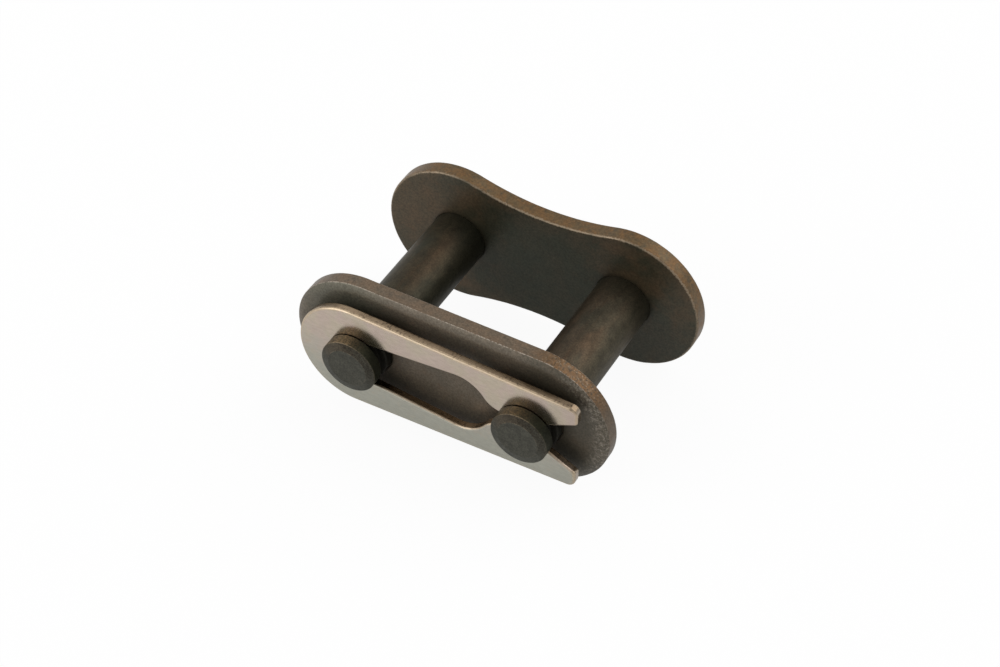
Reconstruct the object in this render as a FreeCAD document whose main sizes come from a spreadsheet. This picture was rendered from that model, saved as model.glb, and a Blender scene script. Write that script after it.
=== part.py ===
"""Connecting link of a roller chain: back plate, two pins, loose cover plate and spring clip.

Frame, in millimetres: the origin is the middle of the pitch line, half-way between the plates. X runs
from pin A (the clip's closed end) to pin B (its open end), Y along the pins from the clip to the back
plate, and Z across the plates' height. The link stands on its plates' lower edges.
"""

import FreeCAD, Part
import Sketcher
import math
import os

# Driving sizes
SIZES = {
    "pitch": 15.875,  # between the two pin axes
    "plate_gap": 13.8,  # between the plates' inner faces
    "pin_diameter": 5.08,
    "head_thickness": 1.21,  # of the pin's front end, in front of the clip groove
    "head_face_diameter": 3.6,  # of the flat in the middle of the head
    "head_chamfer": 0.18,  # the head's rim lies this far behind its flat
    "groove_diameter": 3.75,  # of the pin, in the clip groove
    "shoulder_stand": 0.75,  # the full pin stands this proud of the cover plate
    "shoulder_chamfer": 0.1,
    "rivet_diameter": 5.7,  # of the spread rear end
    "rivet_rim": 0.2,
    "rivet_height": 0.65,
    "rivet_crown_diameter": 4.7,
    "rivet_round": 0.3,
    "dimple_diameter": 1.8,
    "dimple_depth": 0.25,
    "back_thickness": 1.5,
    "back_end_radius": 6.74,
    "back_end_offset": 0.25,  # the end round's centre lies this far outside the pin axis
    "waist_depth": 1.12,  # from the ends' height to the waist, on each edge
    "back_edge_radius": 0.15,
    "cover_thickness": 1.5,
    "cover_height": 12.8,
    "cover_end_offset": 0.25,
    "cover_edge_radius": 0.3,
    "rear_bevel": 0.12,  # on the rear edge of both plates
    "hole_chamfer": 0.15,
    "cover_clearance": 0.03,  # radial, between a pin and its hole in the cover plate
    "clip_thickness": 0.75,
    "clip_side_play": 0.06,  # on each side of the clip, in the groove
    "clip_seat_play": 0.07,  # radial, between the groove's floor and the clip
    "clip_end_radius": 5.05,
    "clip_end_offset": 0.35,  # the closed end's centre lies this far outside pin A's axis
    "clip_reach": 4.56,  # the tips lie this far beyond pin B's axis
    "clip_tip_height": 8.9,
    "slot_end_distance": 6.24,  # from pin B's axis back to the centre of the slot's wide end
    "head_pass": 0.34,  # radial, between a pin head and the slot's wide end
    "neck_width": 1.5,
    "throat_width": 2.5,
    "funnel_width": 5.7,
    "neck_slot_radius": 2.1,
    "neck_seat_radius": 0.25,
    "throat_radius": 0.35,
    "tip_outer_radius": 0.75,
    "tip_inner_radius": 0.3,
    "clip_bevel": 0.1,
}

# Places along the pins, as distances from the middle plane
INNER_FACE = "sizes.plate_gap / 2"
COVER_FACE = f"({INNER_FACE} + sizes.cover_thickness)"
SHOULDER = f"({COVER_FACE} + sizes.shoulder_stand)"
GROOVE_WIDTH = "(sizes.clip_thickness + 2 * sizes.clip_side_play)"
HEAD_BACK = f"({SHOULDER} + {GROOVE_WIDTH})"
HEAD_FRONT = f"({HEAD_BACK} + sizes.head_thickness)"
BACK_FACE = f"({INNER_FACE} + sizes.back_thickness)"
RIVET_END = f"({BACK_FACE} + sizes.rivet_height)"

# Places along the pitch line and radii that pieces share
PIN_A = "-sizes.pitch / 2"
PIN_B = "sizes.pitch / 2"
PIN_RADIUS = "sizes.pin_diameter / 2"
SEAT_RADIUS = "(sizes.groove_diameter / 2 + sizes.clip_seat_play)"
SLOT_END = "(sizes.pitch / 2 - sizes.slot_end_distance)"
SLOT_END_RADIUS = "(sizes.pin_diameter / 2 + sizes.head_pass)"
CLIP_END = f"({PIN_A} - sizes.clip_end_offset)"
TIP = "(sizes.pitch / 2 + sizes.clip_reach)"
THROAT = f"(sizes.pitch / 2 + sqrt({SEAT_RADIUS}^2 - (sizes.throat_width / 2)^2))"

OVERRUN = 1.0  # a cut runs this far out of the blank
FIND = 0.01  # how near an edge lies to the place where it is looked for

# The sketcher's numbers for its two axes and for a curve's own points
X_AXIS, Y_AXIS = range(-1, -3, -1)
START, END, CENTRE = range(1, 4)


def make_sheet(doc):
    """The sheet that holds the driving sizes, each under its own name."""
    sheet = doc.addObject("Spreadsheet::Sheet", "sizes")
    for row, (name, value) in enumerate(SIZES.items(), start=1):
        sheet.set(f"A{row}", name)
        sheet.set(f"B{row}", str(value))
        sheet.setAlias(f"B{row}", name)
    doc.recompute()
    return sheet


def make_body(doc, name):
    """An empty body; its label is the sub-part's name."""
    body = doc.addObject("PartDesign::Body", name)
    body.Label = name
    return body


def make_sketch(body, name, plane):
    """An empty sketch on one of the body's own origin planes."""
    sketch = body.newObject("Sketcher::SketchObject", name)
    support = next(f for f in body.Origin.OriginFeatures if f.Role == plane)
    sketch.AttachmentSupport = [(support, "")]
    sketch.MapMode = "FlatFace"
    return sketch


def worth(thing, expression):
    """The number that an expression of the sheet's sizes comes to."""
    return float(thing.evalExpression(expression))


def drive(sketch, name, expression, kind, *where):
    """Add one dimension to a sketch and bind it to the sheet."""
    number = sketch.addConstraint(Sketcher.Constraint(kind, *where, worth(sketch, expression)))
    sketch.renameConstraint(number, name)
    sketch.setExpression("Constraints." + name, expression)


def place_point(sketch, name, geometry, point, x, y):
    """Hold a point at two expressions; the expression 0 puts it on the axis."""
    if x == "0":
        sketch.addConstraint(Sketcher.Constraint("PointOnObject", geometry, point, Y_AXIS))
    else:
        drive(sketch, name + "_x", x, "DistanceX", X_AXIS, START, geometry, point)
    if y == "0":
        sketch.addConstraint(Sketcher.Constraint("PointOnObject", geometry, point, X_AXIS))
    else:
        drive(sketch, name + "_y", y, "DistanceY", X_AXIS, START, geometry, point)


def draw_polygon(sketch, corners):
    """A closed outline of straight lines, through named corners given as expressions."""
    points = [FreeCAD.Vector(worth(sketch, x), worth(sketch, y), 0) for _, x, y in corners]
    lines = []
    for start, end in zip(points, points[1:] + points[:1]):
        lines.append(sketch.addGeometry(Part.LineSegment(start, end), False))
    for line, following in zip(lines, lines[1:] + lines[:1]):
        sketch.addConstraint(Sketcher.Constraint("Coincident", line, END, following, START))
    for line, (name, x, y) in zip(lines, corners):
        place_point(sketch, name, line, START, x, y)


def draw_circle(sketch, name, x, radius):
    """A circle on the pitch line."""
    centre = FreeCAD.Vector(worth(sketch, x), 0, 0)
    normal = FreeCAD.Vector(0, 0, 1)
    circle = sketch.addGeometry(Part.Circle(centre, normal, worth(sketch, radius)), False)
    place_point(sketch, name, circle, CENTRE, x, "0")
    drive(sketch, name + "_radius", radius, "Radius", circle)


def add_arc(sketch, x, y, radius, start, end):
    """An arc about (x, y), from one angle to the other, counter-clockwise."""
    circle = Part.Circle(FreeCAD.Vector(x, y, 0), FreeCAD.Vector(0, 0, 1), radius)
    return sketch.addGeometry(Part.ArcOfCircle(circle, start, end), False)


def join_smoothly(sketch, first, first_point, second, second_point):
    """Make two curves meet end to end in one direction."""
    sketch.addConstraint(Sketcher.Constraint("Tangent", first, first_point, second, second_point))


def draw_round_ends(sketch, left, left_radius, right, right_radius):
    """Two round ends on the pitch line, joined by straight lines that touch both."""
    x_left = worth(sketch, left)
    x_right = worth(sketch, right)
    r_left = worth(sketch, left_radius)
    r_right = worth(sketch, right_radius)
    lean = math.acos((r_left - r_right) / (x_right - x_left))
    left_arc = add_arc(sketch, x_left, 0, r_left, lean, 2 * math.pi - lean)
    right_arc = add_arc(sketch, x_right, 0, r_right, -lean, lean)
    way = FreeCAD.Vector(math.cos(lean), math.sin(lean), 0)
    flipped = FreeCAD.Vector(way.x, -way.y, 0)
    ends = [FreeCAD.Vector(x_left, 0, 0), FreeCAD.Vector(x_right, 0, 0)]
    upper = Part.LineSegment(ends[1] + way * r_right, ends[0] + way * r_left)
    lower = Part.LineSegment(ends[0] + flipped * r_left, ends[1] + flipped * r_right)
    upper_line = sketch.addGeometry(upper, False)
    lower_line = sketch.addGeometry(lower, False)
    join_smoothly(sketch, right_arc, END, upper_line, START)
    join_smoothly(sketch, upper_line, END, left_arc, START)
    join_smoothly(sketch, left_arc, END, lower_line, START)
    join_smoothly(sketch, lower_line, END, right_arc, START)
    place_point(sketch, "left", left_arc, CENTRE, left, "0")
    place_point(sketch, "right", right_arc, CENTRE, right, "0")
    drive(sketch, "left_radius", left_radius, "Radius", left_arc)
    drive(sketch, "right_radius", right_radius, "Radius", right_arc)


def draw_waisted(sketch, end, end_radius, waist_depth):
    """Two round ends joined by hollow arcs that touch both: the waisted side plate."""
    x_end = worth(sketch, end)
    r_end = worth(sketch, end_radius)
    waist = f"({end_radius} - {waist_depth})"
    waist_radius = f"(({end})^2 + {waist}^2 - {end_radius}^2) / (2 * {waist_depth})"
    r_waist = worth(sketch, waist_radius)
    height = worth(sketch, waist) + r_waist
    touch = math.atan2(height, -x_end)
    right = add_arc(sketch, x_end, 0, r_end, -touch, touch)
    upper = add_arc(sketch, 0, height, r_waist, -touch, touch - math.pi)
    left = add_arc(sketch, -x_end, 0, r_end, math.pi - touch, math.pi + touch)
    lower = add_arc(sketch, 0, -height, r_waist, math.pi - touch, touch)
    join_smoothly(sketch, right, END, upper, END)
    join_smoothly(sketch, upper, START, left, START)
    join_smoothly(sketch, left, END, lower, END)
    join_smoothly(sketch, lower, START, right, START)
    place_point(sketch, "right", right, CENTRE, end, "0")
    place_point(sketch, "left", left, CENTRE, f"-({end})", "0")
    for name, arc, radius in (
        ("right_radius", right, end_radius),
        ("left_radius", left, end_radius),
        ("upper_waist", upper, waist_radius),
        ("lower_waist", lower, waist_radius),
    ):
        drive(sketch, name, radius, "Radius", arc)


def pad(body, sketch, name, length):
    """Give a sketch on the XZ plane its thickness, towards -Y."""
    feature = body.newObject("PartDesign::Pad", name)
    feature.Profile = sketch
    feature.setExpression("Length", length)
    body.Document.recompute()
    return feature


def cut_through(body, sketch, name):
    """Cut a sketch on the XZ plane through the blank in front of it, and see that it cuts."""
    before = body.Shape.Volume
    feature = body.newObject("PartDesign::Pocket", name)
    feature.Profile = sketch
    feature.Type = "ThroughAll"
    feature.Reversed = True
    body.Document.recompute()
    if not body.Shape.Volume < before:
        raise RuntimeError(f"{body.Label}: {name} cuts nothing")
    return feature


def edge_names(shape, wanted):
    """The names of the edges that pass a test."""
    return [f"Edge{number}" for number, edge in enumerate(shape.Edges, start=1) if wanted(edge)]


def finish_edges(body, kind, name, size, expression, wanted):
    """Round or chamfer the edges of the body's last feature that pass a test."""
    base = body.Tip
    names = edge_names(base.Shape, wanted)
    if not names:
        raise RuntimeError(f"{body.Label}: {name} finds no edge")
    feature = body.newObject("PartDesign::" + kind, name)
    feature.Base = (base, names)
    feature.setExpression(size, expression)
    body.Document.recompute()
    return feature


def in_plane(edge, y):
    """Whether an edge lies in the plane at this y."""
    box = edge.BoundBox
    return abs(box.YMin - y) < FIND and abs(box.YMax - y) < FIND


def is_hole_rim(edge, radius):
    """Whether an edge is a circle of this radius."""
    return isinstance(edge.Curve, Part.Circle) and abs(edge.Curve.Radius - radius) < FIND


def stands_at(edge, places):
    """Whether an edge runs along Y at one of these places (x, z)."""
    box = edge.BoundBox
    if box.XLength > FIND or box.ZLength > FIND:
        return False
    return any(math.hypot(box.Center.x - x, box.Center.z - z) < FIND for x, z in places)


def make_plate(doc, name, thickness, draw_outline, hole_radius, edge_radius, rim_faces):
    """A stamped side plate from y = -thickness to 0: its front edge is round, its rear edge bevelled."""
    body = make_body(doc, name)
    outline = make_sketch(body, name + "_outline", "XZ_Plane")
    draw_outline(outline)
    pad(body, outline, name + "_blank", thickness)
    holes = make_sketch(body, name + "_hole_places", "XZ_Plane")
    draw_circle(holes, "hole_a", PIN_A, hole_radius)
    draw_circle(holes, "hole_b", PIN_B, hole_radius)
    cut_through(body, holes, name + "_holes")
    front = -worth(body, thickness)
    radius = worth(body, hole_radius)
    rims = [front, 0] if rim_faces == "both" else [front]

    def is_outline(edge, y):
        return in_plane(edge, y) and not is_hole_rim(edge, radius)

    def is_rim(edge):
        return is_hole_rim(edge, radius) and any(in_plane(edge, y) for y in rims)

    finish_edges(
        body, "Fillet", name + "_front_edge", "Radius", edge_radius, lambda edge: is_outline(edge, front)
    )
    finish_edges(
        body, "Chamfer", name + "_rear_edge", "Size", "sizes.rear_bevel", lambda edge: is_outline(edge, 0)
    )
    finish_edges(body, "Chamfer", name + "_hole_rims", "Size", "sizes.hole_chamfer", is_rim)
    return body


def make_back_plate(doc):
    """The waisted plate that grips both pins."""

    def outline(sketch):
        end = "sizes.pitch / 2 + sizes.back_end_offset"
        draw_waisted(sketch, end, "sizes.back_end_radius", "sizes.waist_depth")

    body = make_plate(
        doc, "back_plate", "sizes.back_thickness", outline, PIN_RADIUS, "sizes.back_edge_radius", "front"
    )
    body.setExpression("Placement.Base.y", BACK_FACE)
    return body


def make_cover_plate(doc):
    """The loose plate: straight edges, round ends, running holes for the pins."""

    def outline(sketch):
        end = "(sizes.pitch / 2 + sizes.cover_end_offset)"
        draw_round_ends(sketch, "-" + end, "sizes.cover_height / 2", end, "sizes.cover_height / 2")

    hole = f"{PIN_RADIUS} + sizes.cover_clearance"
    body = make_plate(
        doc, "cover_plate", "sizes.cover_thickness", outline, hole, "sizes.cover_edge_radius", "both"
    )
    body.setExpression("Placement.Base.y", f"-{INNER_FACE}")
    return body


def make_pin(doc, name, place):
    """A turned pin: chamfered head, clip groove, full bar, spread rear end with its dimple."""
    body = make_body(doc, name)
    profile = make_sketch(body, name + "_profile", "XY_Plane")
    crown = "sizes.rivet_crown_diameter / 2"
    corners = [
        ("front", "0", f"-{HEAD_FRONT}"),
        ("head_face", "sizes.head_face_diameter / 2", f"-{HEAD_FRONT}"),
        ("head_rim", PIN_RADIUS, f"-{HEAD_FRONT} + sizes.head_chamfer"),
        ("head_back", PIN_RADIUS, f"-{HEAD_BACK}"),
        ("groove_front", "sizes.groove_diameter / 2", f"-{HEAD_BACK}"),
        ("groove_back", "sizes.groove_diameter / 2", f"-{SHOULDER}"),
        ("shoulder_face", f"{PIN_RADIUS} - sizes.shoulder_chamfer", f"-{SHOULDER}"),
        ("shoulder_rim", PIN_RADIUS, f"-{SHOULDER} + sizes.shoulder_chamfer"),
        ("bar_end", PIN_RADIUS, BACK_FACE),
        ("rivet_foot", "sizes.rivet_diameter / 2", BACK_FACE),
        ("rivet_rim", "sizes.rivet_diameter / 2", f"{BACK_FACE} + sizes.rivet_rim"),
        ("rivet_crown", crown, RIVET_END),
        ("dimple_rim", "sizes.dimple_diameter / 2", RIVET_END),
        ("dimple_floor", "0", f"{RIVET_END} - sizes.dimple_depth"),
    ]
    draw_polygon(profile, corners)
    turned = body.newObject("PartDesign::Revolution", name + "_turned")
    turned.Profile = profile
    turned.ReferenceAxis = (profile, ["V_Axis"])
    turned.Angle = 360
    doc.recompute()
    end = worth(body, RIVET_END)
    crown_radius = worth(body, crown)

    def is_crown(edge):
        return in_plane(edge, end) and is_hole_rim(edge, crown_radius)

    finish_edges(body, "Fillet", name + "_rivet_round", "Radius", "sizes.rivet_round", is_crown)
    body.setExpression("Placement.Base.x", place)
    return body


def draw_clip_blank(sketch):
    """The clip's outer outline: round closed end, sides that taper to the tips."""
    x_end = worth(sketch, CLIP_END)
    r_end = worth(sketch, "sizes.clip_end_radius")
    x_tip = worth(sketch, TIP)
    z_tip = worth(sketch, "sizes.clip_tip_height / 2")
    span = math.hypot(x_tip - x_end, z_tip)
    touch = math.atan2(z_tip, x_tip - x_end) + math.acos(r_end / span)
    arc = add_arc(sketch, x_end, 0, r_end, touch, 2 * math.pi - touch)
    meet = FreeCAD.Vector(x_end + r_end * math.cos(touch), r_end * math.sin(touch), 0)
    low_meet = FreeCAD.Vector(meet.x, -meet.y, 0)
    tips = [FreeCAD.Vector(x_tip, z_tip, 0), FreeCAD.Vector(x_tip, -z_tip, 0)]
    upper = sketch.addGeometry(Part.LineSegment(tips[0], meet), False)
    lower = sketch.addGeometry(Part.LineSegment(low_meet, tips[1]), False)
    front = sketch.addGeometry(Part.LineSegment(tips[1], tips[0]), False)
    join_smoothly(sketch, upper, END, arc, START)
    join_smoothly(sketch, arc, END, lower, START)
    sketch.addConstraint(Sketcher.Constraint("Coincident", lower, END, front, START))
    sketch.addConstraint(Sketcher.Constraint("Coincident", front, END, upper, START))
    place_point(sketch, "end", arc, CENTRE, CLIP_END, "0")
    drive(sketch, "end_radius", "sizes.clip_end_radius", "Radius", arc)
    place_point(sketch, "upper_tip", upper, START, TIP, "sizes.clip_tip_height / 2")
    place_point(sketch, "lower_tip", lower, END, TIP, "-sizes.clip_tip_height / 2")


def draw_neck(sketch):
    """The narrow way from the slot's wide end to the seat."""
    half = "sizes.neck_width / 2"
    corners = [
        ("slot_low", SLOT_END, f"-{half}"),
        ("seat_low", PIN_B, f"-{half}"),
        ("seat_high", PIN_B, half),
        ("slot_high", SLOT_END, half),
    ]
    draw_polygon(sketch, corners)


def draw_funnel(sketch):
    """The way in between the tips, which narrows to the throat at the seat."""
    throat = "sizes.throat_width / 2"
    wide = "sizes.funnel_width / 2"
    out = f"{TIP} + {OVERRUN}"
    corners = [
        ("seat_low", PIN_B, f"-{throat}"),
        ("throat_low", THROAT, f"-{throat}"),
        ("tip_low", TIP, f"-{wide}"),
        ("out_low", out, f"-{wide}"),
        ("out_high", out, wide),
        ("tip_high", TIP, wide),
        ("throat_high", THROAT, throat),
        ("seat_high", PIN_B, throat),
    ]
    draw_polygon(sketch, corners)


def mirrored(x, z):
    """A place on the clip's upper leg and its like on the lower leg."""
    return [(x, z), (x, -z)]


def round_clip_corners(body):
    """Round the clip's corners, each kind with its own radius."""
    seat = worth(body, SEAT_RADIUS)
    slot = worth(body, SLOT_END_RADIUS)
    neck = worth(body, "sizes.neck_width / 2")
    throat = worth(body, "sizes.throat_width / 2")
    x_slot = worth(body, SLOT_END) + math.sqrt(slot**2 - neck**2)
    x_seat = worth(body, PIN_B) - math.sqrt(seat**2 - neck**2)
    x_tip = worth(body, TIP)
    corners = (
        ("neck_slot", "sizes.neck_slot_radius", mirrored(x_slot, neck)),
        ("neck_seat", "sizes.neck_seat_radius", mirrored(x_seat, neck)),
        ("throat", "sizes.throat_radius", mirrored(worth(body, THROAT), throat)),
        ("tip_outer", "sizes.tip_outer_radius", mirrored(x_tip, worth(body, "sizes.clip_tip_height / 2"))),
        ("tip_inner", "sizes.tip_inner_radius", mirrored(x_tip, worth(body, "sizes.funnel_width / 2"))),
    )
    for name, radius, places in corners:

        def at_corner(edge, places=places):
            return stands_at(edge, places)

        finish_edges(body, "Fillet", name + "_round", "Radius", radius, at_corner)


def make_spring_clip(doc):
    """The one-piece clip, from its back face at y = 0 towards -Y."""
    body = make_body(doc, "spring_clip")
    blank = make_sketch(body, "clip_outline", "XZ_Plane")
    draw_clip_blank(blank)
    pad(body, blank, "clip_blank", "sizes.clip_thickness")
    slot = make_sketch(body, "slot_outline", "XZ_Plane")
    draw_round_ends(slot, PIN_A, SEAT_RADIUS, SLOT_END, SLOT_END_RADIUS)
    cut_through(body, slot, "slot")
    neck = make_sketch(body, "neck_outline", "XZ_Plane")
    draw_neck(neck)
    cut_through(body, neck, "neck")
    seat = make_sketch(body, "seat_outline", "XZ_Plane")
    draw_circle(seat, "seat", PIN_B, SEAT_RADIUS)
    cut_through(body, seat, "seat")
    funnel = make_sketch(body, "funnel_outline", "XZ_Plane")
    draw_funnel(funnel)
    cut_through(body, funnel, "funnel")
    round_clip_corners(body)
    front = -worth(body, "sizes.clip_thickness")
    finish_edges(
        body,
        "Chamfer",
        "clip_edges",
        "Size",
        "sizes.clip_bevel",
        lambda edge: in_plane(edge, front) or in_plane(edge, 0),
    )
    body.setExpression("Placement.Base.y", f"-({SHOULDER} + sizes.clip_side_play)")
    return body


def check(doc, bodies):
    """Stop if any object failed or a sub-part's shape is not one valid solid."""
    for thing in doc.Objects:
        if "Invalid" in thing.State or "Error" in thing.State:
            raise RuntimeError(f"{thing.Label} failed: {thing.State}")
    for body in bodies:
        shape = body.Shape
        if shape.isNull() or not shape.isValid() or len(shape.Solids) != 1:
            raise RuntimeError(f"{body.Label} is not one valid solid")


def main():
    """Build the link and write each sub-part to its own file."""
    doc = FreeCAD.newDocument("connecting_link")
    make_sheet(doc)
    bodies = [
        make_back_plate(doc),
        make_pin(doc, "pin_a", PIN_A),
        make_pin(doc, "pin_b", PIN_B),
        make_cover_plate(doc),
        make_spring_clip(doc),
    ]
    doc.recompute()
    check(doc, bodies)
    os.makedirs("parts", exist_ok=True)
    for body in bodies:
        body.Shape.exportStep(f"parts/{body.Label}.step")
        print(body.Label, round(body.Shape.Volume, 2), body.Shape.BoundBox)


main()
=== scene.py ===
"""Visual model of a roller chain's connecting link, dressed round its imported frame.

The pieces stand where the frame's nodes stand: a waisted back plate with two riveted pins, a loose
cover plate and a one-piece spring clip. Plates and clip are sections swept round their outlines, pins
are sections turned about their axes, and every finish is procedural.
"""

import logging
import math
from dataclasses import dataclass, field, replace
from enum import Enum
from typing import Any, NamedTuple, Sequence

import bpy
from mathutils import Matrix, Vector


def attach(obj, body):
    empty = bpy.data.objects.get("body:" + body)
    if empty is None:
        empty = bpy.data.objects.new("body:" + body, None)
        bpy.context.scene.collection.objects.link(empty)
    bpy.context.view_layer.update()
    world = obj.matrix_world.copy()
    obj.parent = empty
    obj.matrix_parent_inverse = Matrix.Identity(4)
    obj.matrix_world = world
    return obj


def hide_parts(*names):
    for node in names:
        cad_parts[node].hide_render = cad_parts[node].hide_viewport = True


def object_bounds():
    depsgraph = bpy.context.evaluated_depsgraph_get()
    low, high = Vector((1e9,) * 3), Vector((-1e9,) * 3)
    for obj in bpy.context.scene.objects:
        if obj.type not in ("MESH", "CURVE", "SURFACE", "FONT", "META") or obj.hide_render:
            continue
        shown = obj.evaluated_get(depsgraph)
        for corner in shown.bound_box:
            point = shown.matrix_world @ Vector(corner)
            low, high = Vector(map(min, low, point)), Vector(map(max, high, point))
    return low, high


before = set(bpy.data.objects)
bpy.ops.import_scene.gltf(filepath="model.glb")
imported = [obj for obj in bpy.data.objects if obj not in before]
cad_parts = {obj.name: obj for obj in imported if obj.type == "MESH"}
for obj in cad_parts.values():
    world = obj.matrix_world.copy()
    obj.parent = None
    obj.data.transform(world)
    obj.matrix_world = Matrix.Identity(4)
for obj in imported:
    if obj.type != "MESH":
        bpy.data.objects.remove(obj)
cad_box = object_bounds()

LOG = logging.getLogger("connecting_link")

MM = 0.001
SAME = 0.0001  # points of an outline nearer than this, in millimetres, are one
WELD = 0.0008 * MM  # points of a mesh nearer than this become one
BORE_STEP = 0.1  # the longest run between two points of a bore
REAR_WEAR = 0.8  # how bright a sheet's rear edge has worn, next to its front edge
HALF_WAY = 0.5  # where on a rounding its crest is
AVERAGE = 0.5  # of a noise pattern
UPPER, LOWER = 0.6, 0.4  # how strong each of two patterns is in one relief
APART = (1.0, 1.7, 0.6)  # the direction in which one pattern is shifted from another
MIX_LOWER, MIX_UPPER, MIX_RESULT = 6, 7, 2  # a Mix node's sockets for colours
EVEN = (1.0, 1.0, 1.0)
WHITE = (1.0, 1.0, 1.0, 1.0)

Point = tuple[float, float]
Span = tuple[float, float]
Place = tuple[float, float, float]
Colour = tuple[float, float, float]
Socket = bpy.types.NodeSocket
Input = Any  # a socket, or the value that one takes


class Body(Enum):
    """The frame's bodies, which move apart."""

    LINK = "link"
    COVER = "cover"
    CLIP = "clip"


class Slot(Enum):
    """The record's material slots."""

    PLATE = "plate_steel"
    PIN = "pin_steel"
    CLIP = "clip_steel"


class Part(Enum):
    """The frame's nodes, one for each physical piece."""

    BACK_PLATE = "back_plate"
    PIN_A = "pin_a"
    PIN_B = "pin_b"
    COVER_PLATE = "cover_plate"
    SPRING_CLIP = "spring_clip"


class Mark(Enum):
    """Names of the values that the meshes carry, for their finishes and for the trees that make them."""

    WEAR = "edge_wear"
    INSIDE = "inside_cut"
    BORE = "bore"
    INSET = "face_inset"


@dataclass(frozen=True)
class LinkSizes:
    """The sizes that the pieces share, in millimetres, as the part's source names them."""

    pitch: float = 15.875
    plate_gap: float = 13.8
    plate_thickness: float = 1.5
    pin_diameter: float = 5.08
    groove_diameter: float = 3.75
    shoulder_stand: float = 0.75
    head_thickness: float = 1.21
    clip_thickness: float = 0.75
    clip_side_play: float = 0.06

    @property
    def pin_a(self) -> float:
        """Place of pin A's axis along X."""
        return -self.pitch / 2

    @property
    def pin_b(self) -> float:
        """Place of pin B's axis along X."""
        return self.pitch / 2

    @property
    def pin_radius(self) -> float:
        """Radius of a pin's full bar."""
        return self.pin_diameter / 2

    @property
    def inner_face(self) -> float:
        """Distance of each plate's inner face from the middle plane."""
        return self.plate_gap / 2

    @property
    def outer_face(self) -> float:
        """Distance of each plate's outer face from the middle plane."""
        return self.inner_face + self.plate_thickness

    @property
    def shoulder(self) -> float:
        """Distance of the pins' shoulder, behind the clip, from the middle plane."""
        return self.outer_face + self.shoulder_stand

    @property
    def head_back(self) -> float:
        """Distance of the heads' rear faces from the middle plane."""
        return self.shoulder + self.clip_thickness + 2 * self.clip_side_play

    @property
    def head_front(self) -> float:
        """Distance of the heads' front faces from the middle plane."""
        return self.head_back + self.head_thickness


SIZES = LinkSizes()


# Patterns


class Pattern(NamedTuple):
    """What a noise pattern is like."""

    scale: float  # patches for each millimetre
    detail: float  # how many finer layers it has
    roughness: float  # how strong the finer layers are
    stretch: Place = EVEN  # how many times finer it is along each axis
    shift: float = 0.0  # moves it, so that two of them differ


class Ramp(NamedTuple):
    """A value that goes from low to high, and the numbers that it is eased into."""

    low: float
    high: float
    start: float = 0.0
    end: float = 1.0


class Spot(NamedTuple):
    """A soft round place, in millimetres."""

    centre: Place
    radius: float  # where it starts to fade
    soft: float  # over which distance it fades
    flatten: Place = EVEN  # how many times narrower it is along each axis


class Patch(NamedTuple):
    """A colour that shows round a spot."""

    colour: Colour
    share: float  # how much of it shows
    spot: Spot


KNOCKS = Pattern(0.9 / MM, 2.0, 0.6)  # for the trees, which measure in metres
KNOCKED = Ramp(0.5, 0.75)
TURNED_AWAY = Ramp(0.35, 0.85, 1.0, 0.0)  # from a face that looks along Y to the rim


# Outlines


@dataclass
class Contour:
    """A closed outline as points (x, z) in millimetres, with the metal on its left."""

    step: float = 0.16  # the longest run between two points of an arc, half that of a straight
    fewest: int = 6  # runs in a short arc
    points: list[Point] = field(default_factory=list)
    inside: list[float] = field(default_factory=list)

    def add(self, x: float, z: float, inside: float = 0.0) -> None:
        """Add one point, unless it repeats the last one.

        Args:
            x: Place along the pitch line.
            z: Place across the plates' height.
            inside: 1 where the edge is one of the clip's inside cuts.
        """
        if self.points and math.dist(self.points[-1], (x, z)) < SAME:
            return
        self.points.append((x, z))
        self.inside.append(inside)

    def line(self, end: Point, inside: float = 0.0) -> None:
        """Run straight from the last point to another, in short steps.

        Args:
            end: The run's last point.
            inside: As in add.
        """
        start = self.points[-1]
        count = max(1, math.ceil(math.dist(start, end) / (2 * self.step)))
        for k in range(1, count + 1):
            share = k / count
            x = start[0] + (end[0] - start[0]) * share
            z = start[1] + (end[1] - start[1]) * share
            self.add(x, z, inside)

    def arc(self, centre: Point, radius: float, start: float, end: float, inside: float = 0.0) -> None:
        """Run straight to an arc's start, and then along the arc.

        Args:
            centre: The arc's centre.
            radius: Its radius.
            start: The angle where it starts, in radians.
            end: The angle where it ends; a smaller one than start runs clockwise.
            inside: As in add.
        """
        first = around(centre, radius, start)
        if self.points:
            self.line(first, inside)
        count = max(self.fewest, math.ceil(abs(end - start) * radius / self.step))
        for k in range(count + 1):
            x, z = around(centre, radius, start + (end - start) * k / count)
            self.add(x, z, inside)

    def corner(self, before: Point, at: Point, after: Point, radius: float) -> None:
        """Round the corner between two straight runs.

        Args:
            before: A point on the run that comes in.
            at: The sharp corner.
            after: A point on the run that goes out.
            radius: Radius of the rounding.
        """
        come = Vector(at) - Vector(before)
        go = Vector(after) - Vector(at)
        come.normalize()
        go.normalize()
        turn = math.atan2(come.x * go.y - come.y * go.x, come.dot(go))
        side = math.copysign(1.0, turn)
        reach = radius * math.tan(abs(turn) / 2)
        first = Vector(at) - come * reach
        centre = first + Vector((-come.y, come.x)) * radius * side
        start = math.atan2(first.y - centre.y, first.x - centre.x)
        self.arc((centre.x, centre.y), radius, start, start + turn)

    def closed(self) -> "Contour":
        """Drop a last point that repeats the first one.

        Returns:
            The outline itself.
        """
        if math.dist(self.points[0], self.points[-1]) < SAME:
            self.points.pop()
            self.inside.pop()
        return self


def around(centre: Point, radius: float, angle: float) -> Point:
    """A point on a circle, at an angle in radians."""
    return centre[0] + radius * math.cos(angle), centre[1] + radius * math.sin(angle)


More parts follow.
